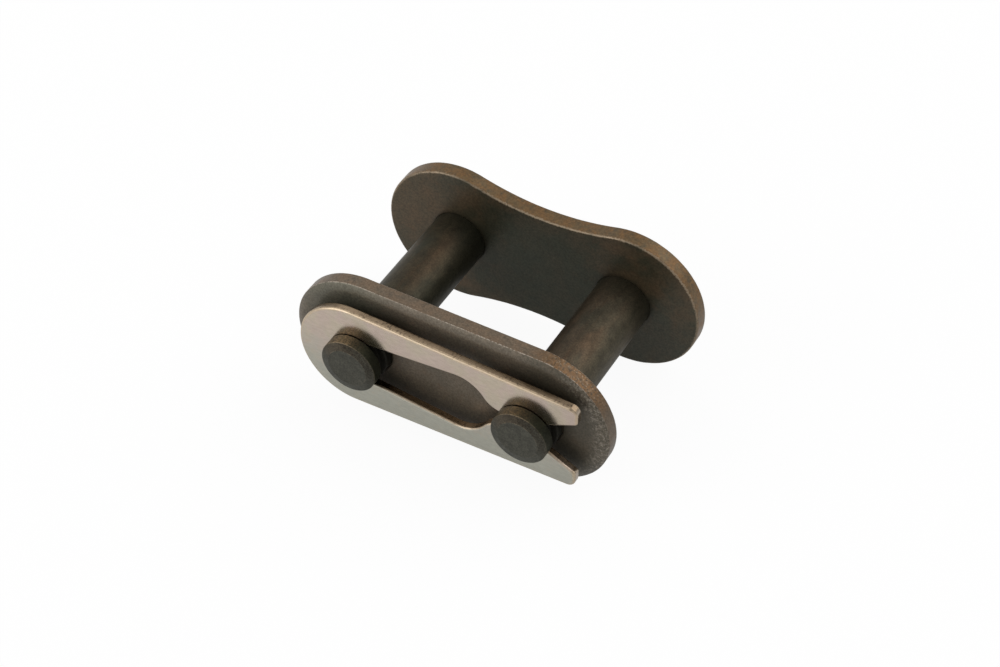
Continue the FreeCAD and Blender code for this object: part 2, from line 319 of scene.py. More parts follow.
def hole(x: float, radius: float) -> Contour:
    """A round hole on the pitch line, run clockwise so that the metal is on its left.

    Args:
        x: Place of its centre along X.
        radius: Its radius.

    Returns:
        The hole's outline.
    """
    outline = Contour(BORE_STEP)
    outline.arc((x, 0.0), radius, 2 * math.pi, 0.0)
    return outline.closed()


# Sections


class Edge(NamedTuple):
    """How an edge is rounded, in millimetres, and how bright its crest has worn."""

    rounding: float
    wear: float = 0.0


@dataclass(frozen=True)
class Corner:
    """A corner of a section: its place, its rounding, and how bright its crest has worn."""

    across: float
    along: float
    rounding: float = 0.0
    wear: float = 0.0


@dataclass(frozen=True)
class Section:
    """An open line of corners that is swept round an outline or turned about an axis."""

    corners: tuple[Corner, ...]
    steps: int = 6  # runs in each rounding
    support: float = 0.03  # from a rounding to the ring that holds the flat beside it
    crest_reach: float = 0.5  # how far a crest reaches, as a share of its rounding

    def traced(self) -> list[tuple[float, float, float]]:
        """The section's points, with its corners rounded.

        Returns:
            Places across and along, in millimetres, and the wear at each point.
        """
        first, last = self.corners[0], self.corners[-1]
        points = [(first.across, first.along, 0.0)]
        for before, at, after in zip(self.corners, self.corners[1:], self.corners[2:]):
            points += self._rounded(before, at, after)
        points.append((last.across, last.along, 0.0))
        return points

    def _rounded(self, before: Corner, at: Corner, after: Corner) -> list[tuple[float, float, float]]:
        """One corner's points, between the two rings that hold the flats beside it.

        Args:
            before: The corner before it.
            at: The corner.
            after: The corner after it.

        Returns:
            Places across and along, and the wear at each point.
        """
        place = Vector((at.across, at.along))
        come = (place - Vector((before.across, before.along))).normalized()
        go = (Vector((after.across, after.along)) - place).normalized()
        turn = math.atan2(come.x * go.y - come.y * go.x, come.dot(go))
        side = math.copysign(1.0, turn)
        reach = at.rounding * math.tan(abs(turn) / 2)
        centre = place - come * reach + Vector((-come.y, come.x)) * at.rounding * side
        arm = place - come * reach - centre
        lead_in = place - come * (reach + self.support)
        lead_out = place + go * (reach + self.support)
        points = [(lead_in.x, lead_in.y, 0.0)]
        for k in range(self.steps + 1):
            share = k / self.steps
            spot = centre + Matrix.Rotation(turn * share, 2) @ arm
            crest = max(0.0, 1.0 - abs(share - HALF_WAY) / self.crest_reach)
            points.append((spot.x, spot.y, at.wear * crest))
        points.append((lead_out.x, lead_out.y, 0.0))
        return points


def sheet_section(
    front: float, rear: float, front_round: float, rear_round: float, inset: float, wear: float = 1.0
) -> Section:
    """The edge of a sheet, from its front face over the rim to its rear face.

    Args:
        front: Where the front face stands along Y.
        rear: Where the rear face stands along Y.
        front_round: Rounding of the front edge.
        rear_round: Rounding of the rear edge.
        inset: How far inside the outline the section starts and ends.
        wear: How bright the front edge has worn.

    Returns:
        The section, with 0 across on the outline and inwards negative.
    """
    return Section(
        (
            Corner(-inset, front),
            Corner(0.0, front, front_round, wear),
            Corner(0.0, rear, rear_round, REAR_WEAR * wear),
            Corner(-inset, rear),
        )
    )


@dataclass(frozen=True)
class Sheet:
    """What a stamped sheet is made from, and how knocked its edges are."""

    name: str
    outline: Contour
    edge: Section
    bores: tuple[Contour, ...] = ()
    bore_edge: Section | None = None
    nick: float = 0.012  # depth of the knocks, in millimetres
    seed: float = 0.0


@dataclass(frozen=True)
class Bar:
    """What a turned bar is made from, and how knocked its edges are."""

    name: str
    section: Section  # from the axis at the front to the axis at the rear
    axis: float  # where the axis stands along X
    steps: int = 128  # faces round the axis
    nick: float = 0.01
    seed: float = 0.0


# Nodes


class Graph:
    """Adds nodes to a tree and joins them."""

    def __init__(self, tree: bpy.types.NodeTree) -> None:
        """Take the tree that the nodes go into."""
        self.tree = tree

    def add(
        self,
        kind: str,
        inputs: dict[str | int, Input] | None = None,
        settings: dict[str, Any] | None = None,
    ) -> bpy.types.Node:
        """Add a node.

        Args:
            kind: The node's type name.
            inputs: What each input takes, by its name or number: a socket or a value.
            settings: The node's own properties, set before its inputs.

        Returns:
            The new node.
        """
        node = self.tree.nodes.new(kind)
        for name, value in (settings or {}).items():
            setattr(node, name, value)
        for key, value in (inputs or {}).items():
            self.feed(node.inputs[key], value)
        return node

    def feed(self, socket: Socket, value: Input) -> None:
        """Join a socket to another one, or set its value.

        Args:
            socket: The input that is set.
            value: What it takes.
        """
        if isinstance(value, Socket):
            self.tree.links.new(value, socket)
        else:
            socket.default_value = value

    def math(self, operation: str, first: Input, second: Input = 0.0, clamp: bool = False) -> Socket:
        """A Math node's result."""
        settings = {"operation": operation, "use_clamp": clamp}
        return self.add("ShaderNodeMath", {0: first, 1: second}, settings).outputs[0]

    def times(self, first: Input, second: Input) -> Socket:
        """Two numbers multiplied."""
        return self.math("MULTIPLY", first, second)

    def plus(self, first: Input, second: Input, clamp: bool = False) -> Socket:
        """Two numbers added."""
        return self.math("ADD", first, second, clamp)

    def vector(self, operation: str, first: Input, second: Input) -> Socket:
        """A Vector Math node's vector result."""
        node = self.add("ShaderNodeVectorMath", {0: first, 1: second}, {"operation": operation})
        return node.outputs[0]

    def scaled(self, vector: Input, factor: Input) -> Socket:
        """A vector times a number."""
        node = self.add("ShaderNodeVectorMath", {0: vector, "Scale": factor}, {"operation": "SCALE"})
        return node.outputs[0]

    def ramp(
        self, value: Input, low: float, high: float, start: float = 0.0, end: float = 1.0
    ) -> Socket:
        """A number eased from start to end while a value goes from low to high.

        Args:
            value: The value.
            low: Where the number starts to change.
            high: Where it stops.
            start: The number up to low.
            end: The number from high on.

        Returns:
            The number.
        """
        inputs = {"Value": value, "From Min": low, "From Max": high, "To Min": start, "To Max": end}
        node = self.add("ShaderNodeMapRange", inputs, {"interpolation_type": "SMOOTHSTEP", "clamp": True})
        return node.outputs[0]


class Press:
    """Geometry Nodes trees that sweep and turn sections, and the meshes that come of them."""

    def __init__(self) -> None:
        """Make both trees."""
        self.sheet_tree = self._make_sheet_tree()
        self.turning_tree = self._make_turning_tree()

    @staticmethod
    def _new_tree(name: str, inputs: Sequence[tuple[str, str]]) -> tuple[Graph, bpy.types.Node]:
        """A geometry tree with its named inputs.

        Args:
            name: The tree's name.
            inputs: Name and socket type of each input after the geometry.

        Returns:
            The tree's graph and its group input node.
        """
        tree = bpy.data.node_groups.new(name, "GeometryNodeTree")
        tree.interface.new_socket(name="Geometry", in_out="INPUT", socket_type="NodeSocketGeometry")
        for label, kind in inputs:
            tree.interface.new_socket(name=label, in_out="INPUT", socket_type=kind)
        tree.interface.new_socket(name="Geometry", in_out="OUTPUT", socket_type="NodeSocketGeometry")
        graph = Graph(tree)
        return graph, graph.add("NodeGroupInput")

    @staticmethod
    def _flat_curve(graph: Graph, mesh: Input) -> Socket:
        """A mesh's edges as curves whose normals lie in the XY plane.

        Args:
            graph: The tree's graph.
            mesh: A mesh of loose edges.

        Returns:
            The curves.
        """
        curve = graph.add("GeometryNodeMeshToCurve", {0: mesh}).outputs[0]
        upright = graph.add("GeometryNodeSetCurveNormal", {"Curve": curve}, {"mode": "Z_UP"})
        return upright.outputs[0]

    @staticmethod
    def _carried(graph: Graph, mark: Mark) -> Socket:
        """A value that the mesh carries."""
        settings = {"data_type": "FLOAT"}
        return graph.add("GeometryNodeInputNamedAttribute", {"Name": mark.value}, settings).outputs[0]

    @staticmethod
    def _swept(graph: Graph, path: Input, section: Input) -> Socket:
        """A section object's line swept along a curve, as a smooth surface.

        Args:
            graph: The tree's graph.
            path: The curve.
            section: The section object.

        Returns:
            The surface.
        """
        info = graph.add("GeometryNodeObjectInfo", {"Object": section})
        line = graph.add("GeometryNodeMeshToCurve", {0: info.outputs["Geometry"]}).outputs[0]
        swept = graph.add("GeometryNodeCurveToMesh", {"Curve": path, "Profile Curve": line}).outputs[0]
        return Press._shaded(graph, swept, True)

    @staticmethod
    def _shaded(graph: Graph, mesh: Input, smooth: bool) -> Socket:
        """A mesh with its faces shaded smooth or flat."""
        node = graph.add("GeometryNodeSetShadeSmooth", {"Geometry": mesh, "Shade Smooth": smooth})
        return node.outputs[0]

    def _nicked(self, graph: Graph, mesh: Input, given: bpy.types.Node) -> Socket:
        """Worn edges pressed in by small knocks, deepest where the wear is strongest.

        Args:
            graph: The tree's graph.
            mesh: The surface.
            given: The tree's inputs.

        Returns:
            The surface with its knocks.
        """
        wear = self._carried(graph, Mark.WEAR)
        place = graph.add("GeometryNodeInputPosition").outputs[0]
        inputs = {
            "Vector": place,
            "W": given.outputs["Seed"],
            "Scale": KNOCKS.scale,
            "Detail": KNOCKS.detail,
            "Roughness": KNOCKS.roughness,
        }
        knocks = graph.add("ShaderNodeTexNoise", inputs, {"noise_dimensions": "4D"}).outputs[0]
        depth = graph.times(graph.ramp(knocks, *KNOCKED), wear)
        depth = graph.times(depth, given.outputs["Nick Depth"])
        normal = graph.add("GeometryNodeInputNormal").outputs[0]
        shift = graph.scaled(normal, graph.times(depth, -1.0))
        return graph.add("GeometryNodeSetPosition", {"Geometry": mesh, "Offset": shift}).outputs[0]

    @staticmethod
    def _stand_up(
        graph: Graph, given: bpy.types.Node, pieces: Sequence[Input], place: Input
    ) -> None:
        """Weld the pieces, stand them up from the XY plane, move them to their place and dress them.

        Args:
            graph: The tree's graph.
            given: The tree's inputs.
            pieces: The surfaces and faces.
            place: Where the axis of a turned piece goes.
        """
        joined = graph.add("GeometryNodeJoinGeometry")
        for piece in pieces:
            graph.tree.links.new(piece, joined.inputs[0])
        inputs = {"Geometry": joined.outputs[0], "Distance": WELD}
        welded = graph.add("GeometryNodeMergeByDistance", inputs).outputs[0]
        inputs = {"Geometry": welded, "Translation": place, "Rotation": (math.pi / 2, 0.0, 0.0)}
        moved = graph.add("GeometryNodeTransform", inputs)
        real = graph.add("GeometryNodeRealizeInstances", {0: moved.outputs[0]}).outputs[0]
        for mark in (Mark.BORE, Mark.INSET):
            cleared = graph.add("GeometryNodeRemoveAttribute", {"Geometry": real, "Name": mark.value})
            real = cleared.outputs[0]
        inputs = {"Geometry": real, "Material": given.outputs["Material"]}
        dressed = graph.add("GeometryNodeSetMaterial", inputs)
        graph.add("NodeGroupOutput", {0: dressed.outputs[0]})

    def _make_sheet_tree(self) -> bpy.types.NodeTree:
        """Make the tree that sweeps an edge section round outlines and closes the two faces.

        Returns:
            The tree.
        """
        graph, given = self._new_tree(
            "stamped_sheet",
            (
                ("Section", "NodeSocketObject"),
                ("Bore Section", "NodeSocketObject"),
                ("Front", "NodeSocketFloat"),
                ("Rear", "NodeSocketFloat"),
                ("Nick Depth", "NodeSocketFloat"),
                ("Seed", "NodeSocketFloat"),
                ("Material", "NodeSocketMaterial"),
            ),
        )
        whole = given.outputs["Geometry"]
        is_bore = self._carried(graph, Mark.BORE)
        parted = graph.add("GeometryNodeSeparateGeometry", {"Geometry": whole, "Selection": is_bore})
        rims = []
        for part, section in zip(parted.outputs, ("Bore Section", "Section")):
            rim = self._swept(graph, self._flat_curve(graph, part), given.outputs[section])
            rims.append(self._nicked(graph, rim, given))
        normal = graph.add("GeometryNodeInputNormal").outputs[0]
        inward = graph.scaled(normal, graph.times(self._carried(graph, Mark.INSET), -1.0))
        outline = self._flat_curve(graph, whole)
        inner = graph.add("GeometryNodeSetPosition", {"Geometry": outline, "Offset": inward}).outputs[0]
        face = graph.add("GeometryNodeFillCurve", {0: inner}, {"mode": "TRIANGLES"}).outputs[0]
        face = self._shaded(graph, face, False)
        faces = []
        for side in ("Front", "Rear"):
            drop = graph.times(given.outputs[side], -1.0)
            shift = graph.add("ShaderNodeCombineXYZ", {"Z": drop}).outputs[0]
            moved = graph.add("GeometryNodeTransform", {"Geometry": face, "Translation": shift})
            faces.append(moved.outputs[0])
        faces[1] = graph.add("GeometryNodeFlipFaces", {0: faces[1]}).outputs[0]
        self._stand_up(graph, given, (*rims, *faces), (0.0, 0.0, 0.0))
        return graph.tree

    def _make_turning_tree(self) -> bpy.types.NodeTree:
        """Make the tree that turns a section about a pin's axis.

        Returns:
            The tree.
        """
        graph, given = self._new_tree(
            "turned_pin",
            (
                ("Section", "NodeSocketObject"),
                ("Path Radius", "NodeSocketFloat"),
                ("Steps", "NodeSocketInt"),
                ("Place", "NodeSocketVector"),
                ("Nick Depth", "NodeSocketFloat"),
                ("Seed", "NodeSocketFloat"),
                ("Material", "NodeSocketMaterial"),
            ),
        )
        circle = graph.add(
            "GeometryNodeCurvePrimitiveCircle",
            {"Resolution": given.outputs["Steps"], "Radius": given.outputs["Path Radius"]},
        ).outputs[0]
        path = graph.add("GeometryNodeSetCurveNormal", {"Curve": circle}, {"mode": "Z_UP"}).outputs[0]
        turned = self._nicked(graph, self._swept(graph, path, given.outputs["Section"]), given)
        self._stand_up(graph, given, (turned,), given.outputs["Place"])
        return graph.tree

    @staticmethod
    def _section_object(section: Section, shift: float) -> bpy.types.Object:
        """Make a helper whose mesh is a section's line.

        Args:
            section: The section.
            shift: How far its line is moved inwards, in millimetres.

        Returns:
            The helper.
        """
        traced = section.traced()
        mesh = bpy.data.meshes.new("section")
        vertices = [((across - shift) * MM, along * MM, 0.0) for across, along, _ in traced]
        edges = [(k, k + 1) for k in range(len(traced) - 1)]
        mesh.from_pydata(vertices, edges, [])
        wear = mesh.attributes.new(Mark.WEAR.value, "FLOAT", "POINT")
        wear.data.foreach_set("value", [value for _, _, value in traced])
        return bpy.data.objects.new("section", mesh)

    @staticmethod
    def _bake(piece: bpy.types.Object, tree: bpy.types.NodeTree, values: dict[str, Any]) -> None:
        """Run a tree on a piece and leave the result as its plain mesh.

        Args:
            piece: The object whose mesh goes in.
            tree: The geometry tree.
            values: The tree's inputs by name.
        """
        modifier = piece.modifiers.new(tree.name, "NODES")
        modifier.node_group = tree
        for item in tree.interface.items_tree:
            if item.item_type == "SOCKET" and item.in_out == "INPUT" and item.name in values:
                modifier[item.identifier] = values[item.name]
        graph = bpy.context.evaluated_depsgraph_get()
        made = bpy.data.meshes.new_from_object(
            piece.evaluated_get(graph), preserve_all_data_layers=True, depsgraph=graph
        )
        piece.modifiers.remove(modifier)
        piece.data = made

    def stamp(self, sheet: Sheet, material: bpy.types.Material) -> bpy.types.Object:
        """Make a sheet from its outlines and the sections of its edges.

        Args:
            sheet: What it is made from.
            material: Its finish.

        Returns:
            The piece, a closed mesh in its place.
        """
        bore_edge = sheet.bore_edge or sheet.edge
        vertices: list[Place] = []
        edges: list[tuple[int, int]] = []
        carried: dict[Mark, list[float]] = {Mark.INSIDE: [], Mark.BORE: [], Mark.INSET: []}
        for outline in (sheet.outline, *sheet.bores):
            first = len(vertices)
            count = len(outline.points)
            is_bore = outline is not sheet.outline
            inset = -(bore_edge if is_bore else sheet.edge).corners[0].across * MM
            vertices += [(x * MM, z * MM, 0.0) for x, z in outline.points]
            edges += [(first + k, first + (k + 1) % count) for k in range(count)]
            carried[Mark.INSIDE] += outline.inside
            carried[Mark.BORE] += [float(is_bore)] * count
            carried[Mark.INSET] += [inset] * count
        mesh = bpy.data.meshes.new(sheet.name)
        mesh.from_pydata(vertices, edges, [])
        for mark, values in carried.items():
            mesh.attributes.new(mark.value, "FLOAT", "POINT").data.foreach_set("value", values)
        piece = bpy.data.objects.new(sheet.name, mesh)
        helpers = [self._section_object(section, 0.0) for section in (sheet.edge, bore_edge)]
        for item in (piece, *helpers):
            bpy.context.scene.collection.objects.link(item)
        values = {
            "Section": helpers[0],
            "Bore Section": helpers[1],
            "Front": sheet.edge.corners[0].along * MM,
            "Rear": sheet.edge.corners[-1].along * MM,
            "Nick Depth": sheet.nick * MM,
            "Seed": sheet.seed,
            "Material": material,
        }
        self._bake(piece, self.sheet_tree, values)
        for helper in helpers:
            bpy.data.objects.remove(helper)
        return piece

    def turn(self, bar: Bar, material: bpy.types.Material) -> bpy.types.Object:
        """Make a turned piece from its section.

        Args:
            bar: What it is made from.
            material: Its finish.

        Returns:
            The piece, a closed mesh in its place.
        """
        path_radius = 1.0
        piece = bpy.data.objects.new(bar.name, bpy.data.meshes.new(bar.name))
        helper = self._section_object(bar.section, path_radius)
        for item in (piece, helper):
            bpy.context.scene.collection.objects.link(item)
        self._bake(
            piece,
            self.turning_tree,
            {
                "Section": helper,
                "Path Radius": path_radius * MM,
                "Steps": bar.steps,
                "Place": (bar.axis * MM, 0.0, 0.0),
                "Nick Depth": bar.nick * MM,
                "Seed": bar.seed,
                "Material": material,
            },
        )
        bpy.data.objects.remove(helper)
        return piece


# Finishes


class Surface(Graph):
    """A material's nodes, with patterns measured in millimetres of the object's own space."""

    def __init__(self, name: str) -> None:
        """Start a material and find the place of each point in millimetres.

        Args:
            name: The material's name.
        """
        self.material = bpy.data.materials.new(name)
        self.material.use_nodes = True
        super().__init__(self.material.node_tree)
        self.tree.nodes.clear()
        coordinates = self.add("ShaderNodeTexCoord")
        self.place = self.scaled(coordinates.outputs["Object"], 1.0 / MM)
        split = self.add("ShaderNodeSeparateXYZ", {0: self.place})
        self.x, self.y, self.z = split.outputs
        normal = self.add("ShaderNodeSeparateXYZ", {0: coordinates.outputs["Normal"]})
        self.facing_y = self.math("ABSOLUTE", normal.outputs[1])

    def mark(self, mark: Mark) -> Socket:
        """A value that the mesh carries."""
        settings = {"attribute_name": mark.value, "attribute_type": "GEOMETRY"}
        return self.add("ShaderNodeAttribute", {}, settings).outputs["Fac"]

    def noise(self, pattern: Pattern, seed: float = 0.0) -> Socket:
        """A noise pattern, shifted further by a seed.

        Args:
            pattern: What it is like.
            seed: How much further it is shifted.

        Returns:
            The pattern's value.
        """
        shift = pattern.shift + seed
        vector = self.vector("MULTIPLY", self.place, pattern.stretch)
        vector = self.vector("ADD", vector, tuple(shift * share for share in APART))
        inputs = {
            "Vector": vector,
            "Scale": pattern.scale,
            "Detail": pattern.detail,
            "Roughness": pattern.roughness,
        }
        return self.add("ShaderNodeTexNoise", inputs).outputs[0]

    def swing(self, pattern: Input, size: float) -> Socket:
        """How far a pattern lies above its average, times a size."""
        return self.times(self.math("SUBTRACT", pattern, AVERAGE), size)

    def layered(self, upper: Input, lower: Input) -> Socket:
        """Two patterns added into one relief, the upper one stronger."""
        return self.plus(self.times(upper, UPPER), self.times(lower, LOWER))

    def near(self, spot: Spot) -> Socket:
        """1 in a spot and 0 away from it.

        Args:
            spot: The spot.

        Returns:
            The mask.
        """
        away = self.vector("SUBTRACT", self.place, spot.centre)
        away = self.vector("MULTIPLY", away, spot.flatten)
        return self.ramp(self._length(away), spot.radius, spot.radius + spot.soft, 1.0, 0.0)

    def patched(self, colour: Input, patches: Sequence[Patch]) -> Input:
        """A colour with patches of others laid over it in order.

        Args:
            colour: The lowest colour.
            patches: The patches, from the lowest up.

        Returns:
            The colour.
        """
        for patch in patches:
            share = self.times(self.near(patch.spot), patch.share)
            colour = self.mix(share, colour, patch.colour)
        return colour

    def _length(self, vector: Input) -> Socket:
        """A vector's length."""
        node = self.add("ShaderNodeVectorMath", {0: vector}, {"operation": "LENGTH"})
        return node.outputs["Value"]

    def off_pitch_line(self) -> Socket:
        """How far a point is from the line between the pins' axes, as seen along Y.

        Returns:
            The distance, in millimetres.
        """
        past = self.math("SUBTRACT", self.math("ABSOLUTE", self.x), SIZES.pin_b)
        past = self.math("MAXIMUM", past, 0.0)
        return self._length(self.add("ShaderNodeCombineXYZ", {0: past, 2: self.z}).outputs[0])

    def mix(self, share: Input, first: Input, second: Input, blend: str = "MIX") -> Socket:
        """One colour laid over another.

        Args:
            share: How much of the second shows.
            first: The lower colour.
            second: The upper colour.
            blend: How they are joined.

        Returns:
            The mixed colour.
        """
        settings = {"data_type": "RGBA", "blend_type": blend, "clamp_factor": True}
        inputs = {0: share, MIX_LOWER: rgba(first), MIX_UPPER: rgba(second)}
        return self.add("ShaderNodeMix", inputs, settings).outputs[MIX_RESULT]

    def toned(self, colour: Input, tone: Input) -> Socket:
        """A colour made darker or lighter by a number."""
        grey = self.add("ShaderNodeCombineColor", {0: tone, 1: tone, 2: tone}).outputs[0]
        return self.mix(1.0, colour, grey, "MULTIPLY")

    def finish(
        self, colour: Input, roughness: Input, height: Input, metallic: float, relief: float
    ) -> bpy.types.Material:
        """Close the material with its shader.

        Args:
            colour: Base colour.
            roughness: Roughness.
            height: Height of the fine relief, from 0 to 1.
            metallic: How metallic it is.
            relief: Depth of the relief, in millimetres.

        Returns:
            The material.
        """
        bump = self.add("ShaderNodeBump", {"Height": height, "Distance": relief * MM, "Strength": 1.0})
        inputs = {
            "Base Color": colour,
            "Roughness": roughness,
            "Normal": bump.outputs[0],
            "Metallic": metallic,
        }
        shader = self.add("ShaderNodeBsdfPrincipled", inputs)
        self.add("ShaderNodeOutputMaterial", {0: shader.outputs[0]})
        return self.material


def rgba(value: Input) -> Input:
    """A colour with its fourth number, or the socket itself."""
    return value if isinstance(value, Socket) else (*value, 1.0)


@dataclass(frozen=True)
class PlateFinish:
    """Dark heat-treated steel: mottled, faintly rusty, worn along its edges."""

    name: str
    dark: Colour
    warm: Colour
    rim: Colour
    rim_warm: Colour
    bright: Colour
    worn: float  # how bright the worn edge shows
    broken: float  # how far the worn edge is broken up into dots
    mottled: float  # how far the fine grain darkens and lightens the colour
    seed: float
    relief: float = 0.005
    metallic: float = 0.45
    rust: Colour = (0.13, 0.068, 0.034)
    clouds: Pattern = Pattern(0.4, 4.0, 0.55)
    blotches: Pattern = Pattern(1.1, 4.0, 0.65, shift=11.0)
    grain: Pattern = Pattern(5.5, 3.0, 0.7, shift=23.0)
    specks: Pattern = Pattern(9.0, 2.0, 0.6, shift=31.0)
    flecks: Pattern = Pattern(6.5, 1.0, 0.5, shift=47.0)
    stains: Pattern = Pattern(1.7, 3.0, 0.6, shift=3.0)
    warming: Ramp = Ramp(0.35, 0.68)
    rusting: Ramp = Ramp(0.52, 0.75, 0.0, 0.4)
    rim_warming: Ramp = Ramp(0.38, 0.62)
    rim_staining: Ramp = Ramp(0.54, 0.7, 0.0, 0.5)
    speckling: Ramp = Ramp(0.66, 0.82, 0.0, 0.25)
    graining: Span = (0.25, 0.75)
    chipping: Ramp = Ramp(0.0, 0.5)
    wearing: Span = (0.3, 0.95)
    fading: Ramp | None = None  # how the worn edge fades along X
    clouding: Ramp = Ramp(0.36, 0.6, 0.45, 1.0)  # how the clouds fade it
    roughening: Ramp = Ramp(0.3, 0.7, 0.36, 0.46)
    pitting: Ramp = Ramp(0.28, 0.42)

    def dress_face(self, s: Surface, colour: Input) -> Input:
        """Add what only one plate's faces have."""
        return colour

    def dress_rim(self, s: Surface, colour: Input) -> Input:
        """Add what only one plate's rim has."""
        return colour

    def material(self) -> bpy.types.Material:
        """Make the plate's material.

        Returns:
            The material.
        """
        s = Surface(self.name)
        patterns = (self.clouds, self.blotches, self.grain, self.specks, self.flecks, self.stains)
        clouds, blotches, grain, specks, flecks, stains = (s.noise(each, self.seed) for each in patterns)
        face = s.mix(s.ramp(clouds, *self.warming), self.dark, self.warm)
        face = s.mix(s.ramp(blotches, *self.rusting), face, self.rust)
        rim = s.mix(s.ramp(blotches, *self.rim_warming), self.rim, self.rim_warm)
        rim = s.mix(s.ramp(stains, *self.rim_staining), rim, self.dark)
        on_rim = s.ramp(s.facing_y, *TURNED_AWAY)
        colour = s.mix(on_rim, self.dress_face(s, face), self.dress_rim(s, rim))
        tone = s.ramp(grain, *self.graining, 1.0 - self.mottled, 1.0 + self.mottled)
        colour = s.toned(colour, tone)
        colour = s.mix(s.ramp(specks, *self.speckling), colour, self.bright)
        colour = s.mix(self._worn(s, clouds, flecks), colour, self.bright)
        rough = s.ramp(blotches, *self.roughening)
        height = s.layered(grain, s.ramp(specks, *self.pitting))
        return s.finish(colour, rough, height, self.metallic, self.relief)

    def _worn(self, s: Surface, clouds: Input, flecks: Input) -> Socket:
        """Where the edge has worn bright, broken up into dots.

        Args:
            s: The material's nodes.
            clouds: The broad pattern.
            flecks: The fine pattern.

        Returns:
            The mask.
        """
        wear = s.mark(Mark.WEAR)
        chips = s.times(s.swing(flecks, self.broken), s.ramp(wear, *self.chipping))
        worn = s.ramp(s.plus(wear, chips), *self.wearing, 0.0, self.worn)
        if self.fading:
            worn = s.times(worn, s.ramp(s.x, *self.fading))
        return s.times(worn, s.ramp(clouds, *self.clouding))


@dataclass(frozen=True)
class BackPlateFinish(PlateFinish):
    """The back plate's steel: brown at its left end, with painted shade in its dark olive middle and
    round the pins' roots.
    """

    name: str = "back_plate_steel"
    dark: Colour = (0.051, 0.048, 0.029)
    warm: Colour = (0.094, 0.064, 0.035)
    rim: Colour = (0.124, 0.079, 0.033)
    rim_warm: Colour = (0.165, 0.088, 0.03)
    bright: Colour = (0.34, 0.255, 0.17)
    worn: float = 0.75
    broken: float = 1.5
    mottled: float = 0.32
    seed: float = 2.0
    brown_end: Patch = Patch((0.094, 0.06, 0.029), 0.55, Spot((-11.5, SIZES.inner_face, 1.5), 1.0, 7.0))
    green_end: Patch = Patch((0.042, 0.046, 0.032), 0.7, Spot((10.5, SIZES.inner_face, -3.5), 1.0, 5.0))
    # painted shade: the dark olive middle stands in for the shaded floor and cover plate that the face
    # reflects
    middle: Patch = Patch((0.035, 0.0415, 0.0265), 0.75, Spot((0.0, SIZES.inner_face, -0.5), 3.0, 7.0))
    # painted shade round the pins' roots, where they meet the plate
    root_shade: Colour = (0.018, 0.018, 0.012)
    root_shade_share: float = 0.5
    root_shade_soft: float = 0.5

    def dress_face(self, s: Surface, colour: Input) -> Input:
        """Paint shade on the plate's middle and round the pins' roots.

        Args:
            s: The material's nodes.
            colour: The faces' colour.

        Returns:
            The dressed colour.
        """
        roots = []
        for axis in (SIZES.pin_a, SIZES.pin_b):
            spot = Spot((axis, SIZES.inner_face, 0.0), SIZES.pin_radius, self.root_shade_soft)
            roots.append(Patch(self.root_shade, self.root_shade_share, spot))
        return s.patched(colour, (self.brown_end, self.green_end, self.middle, *roots))


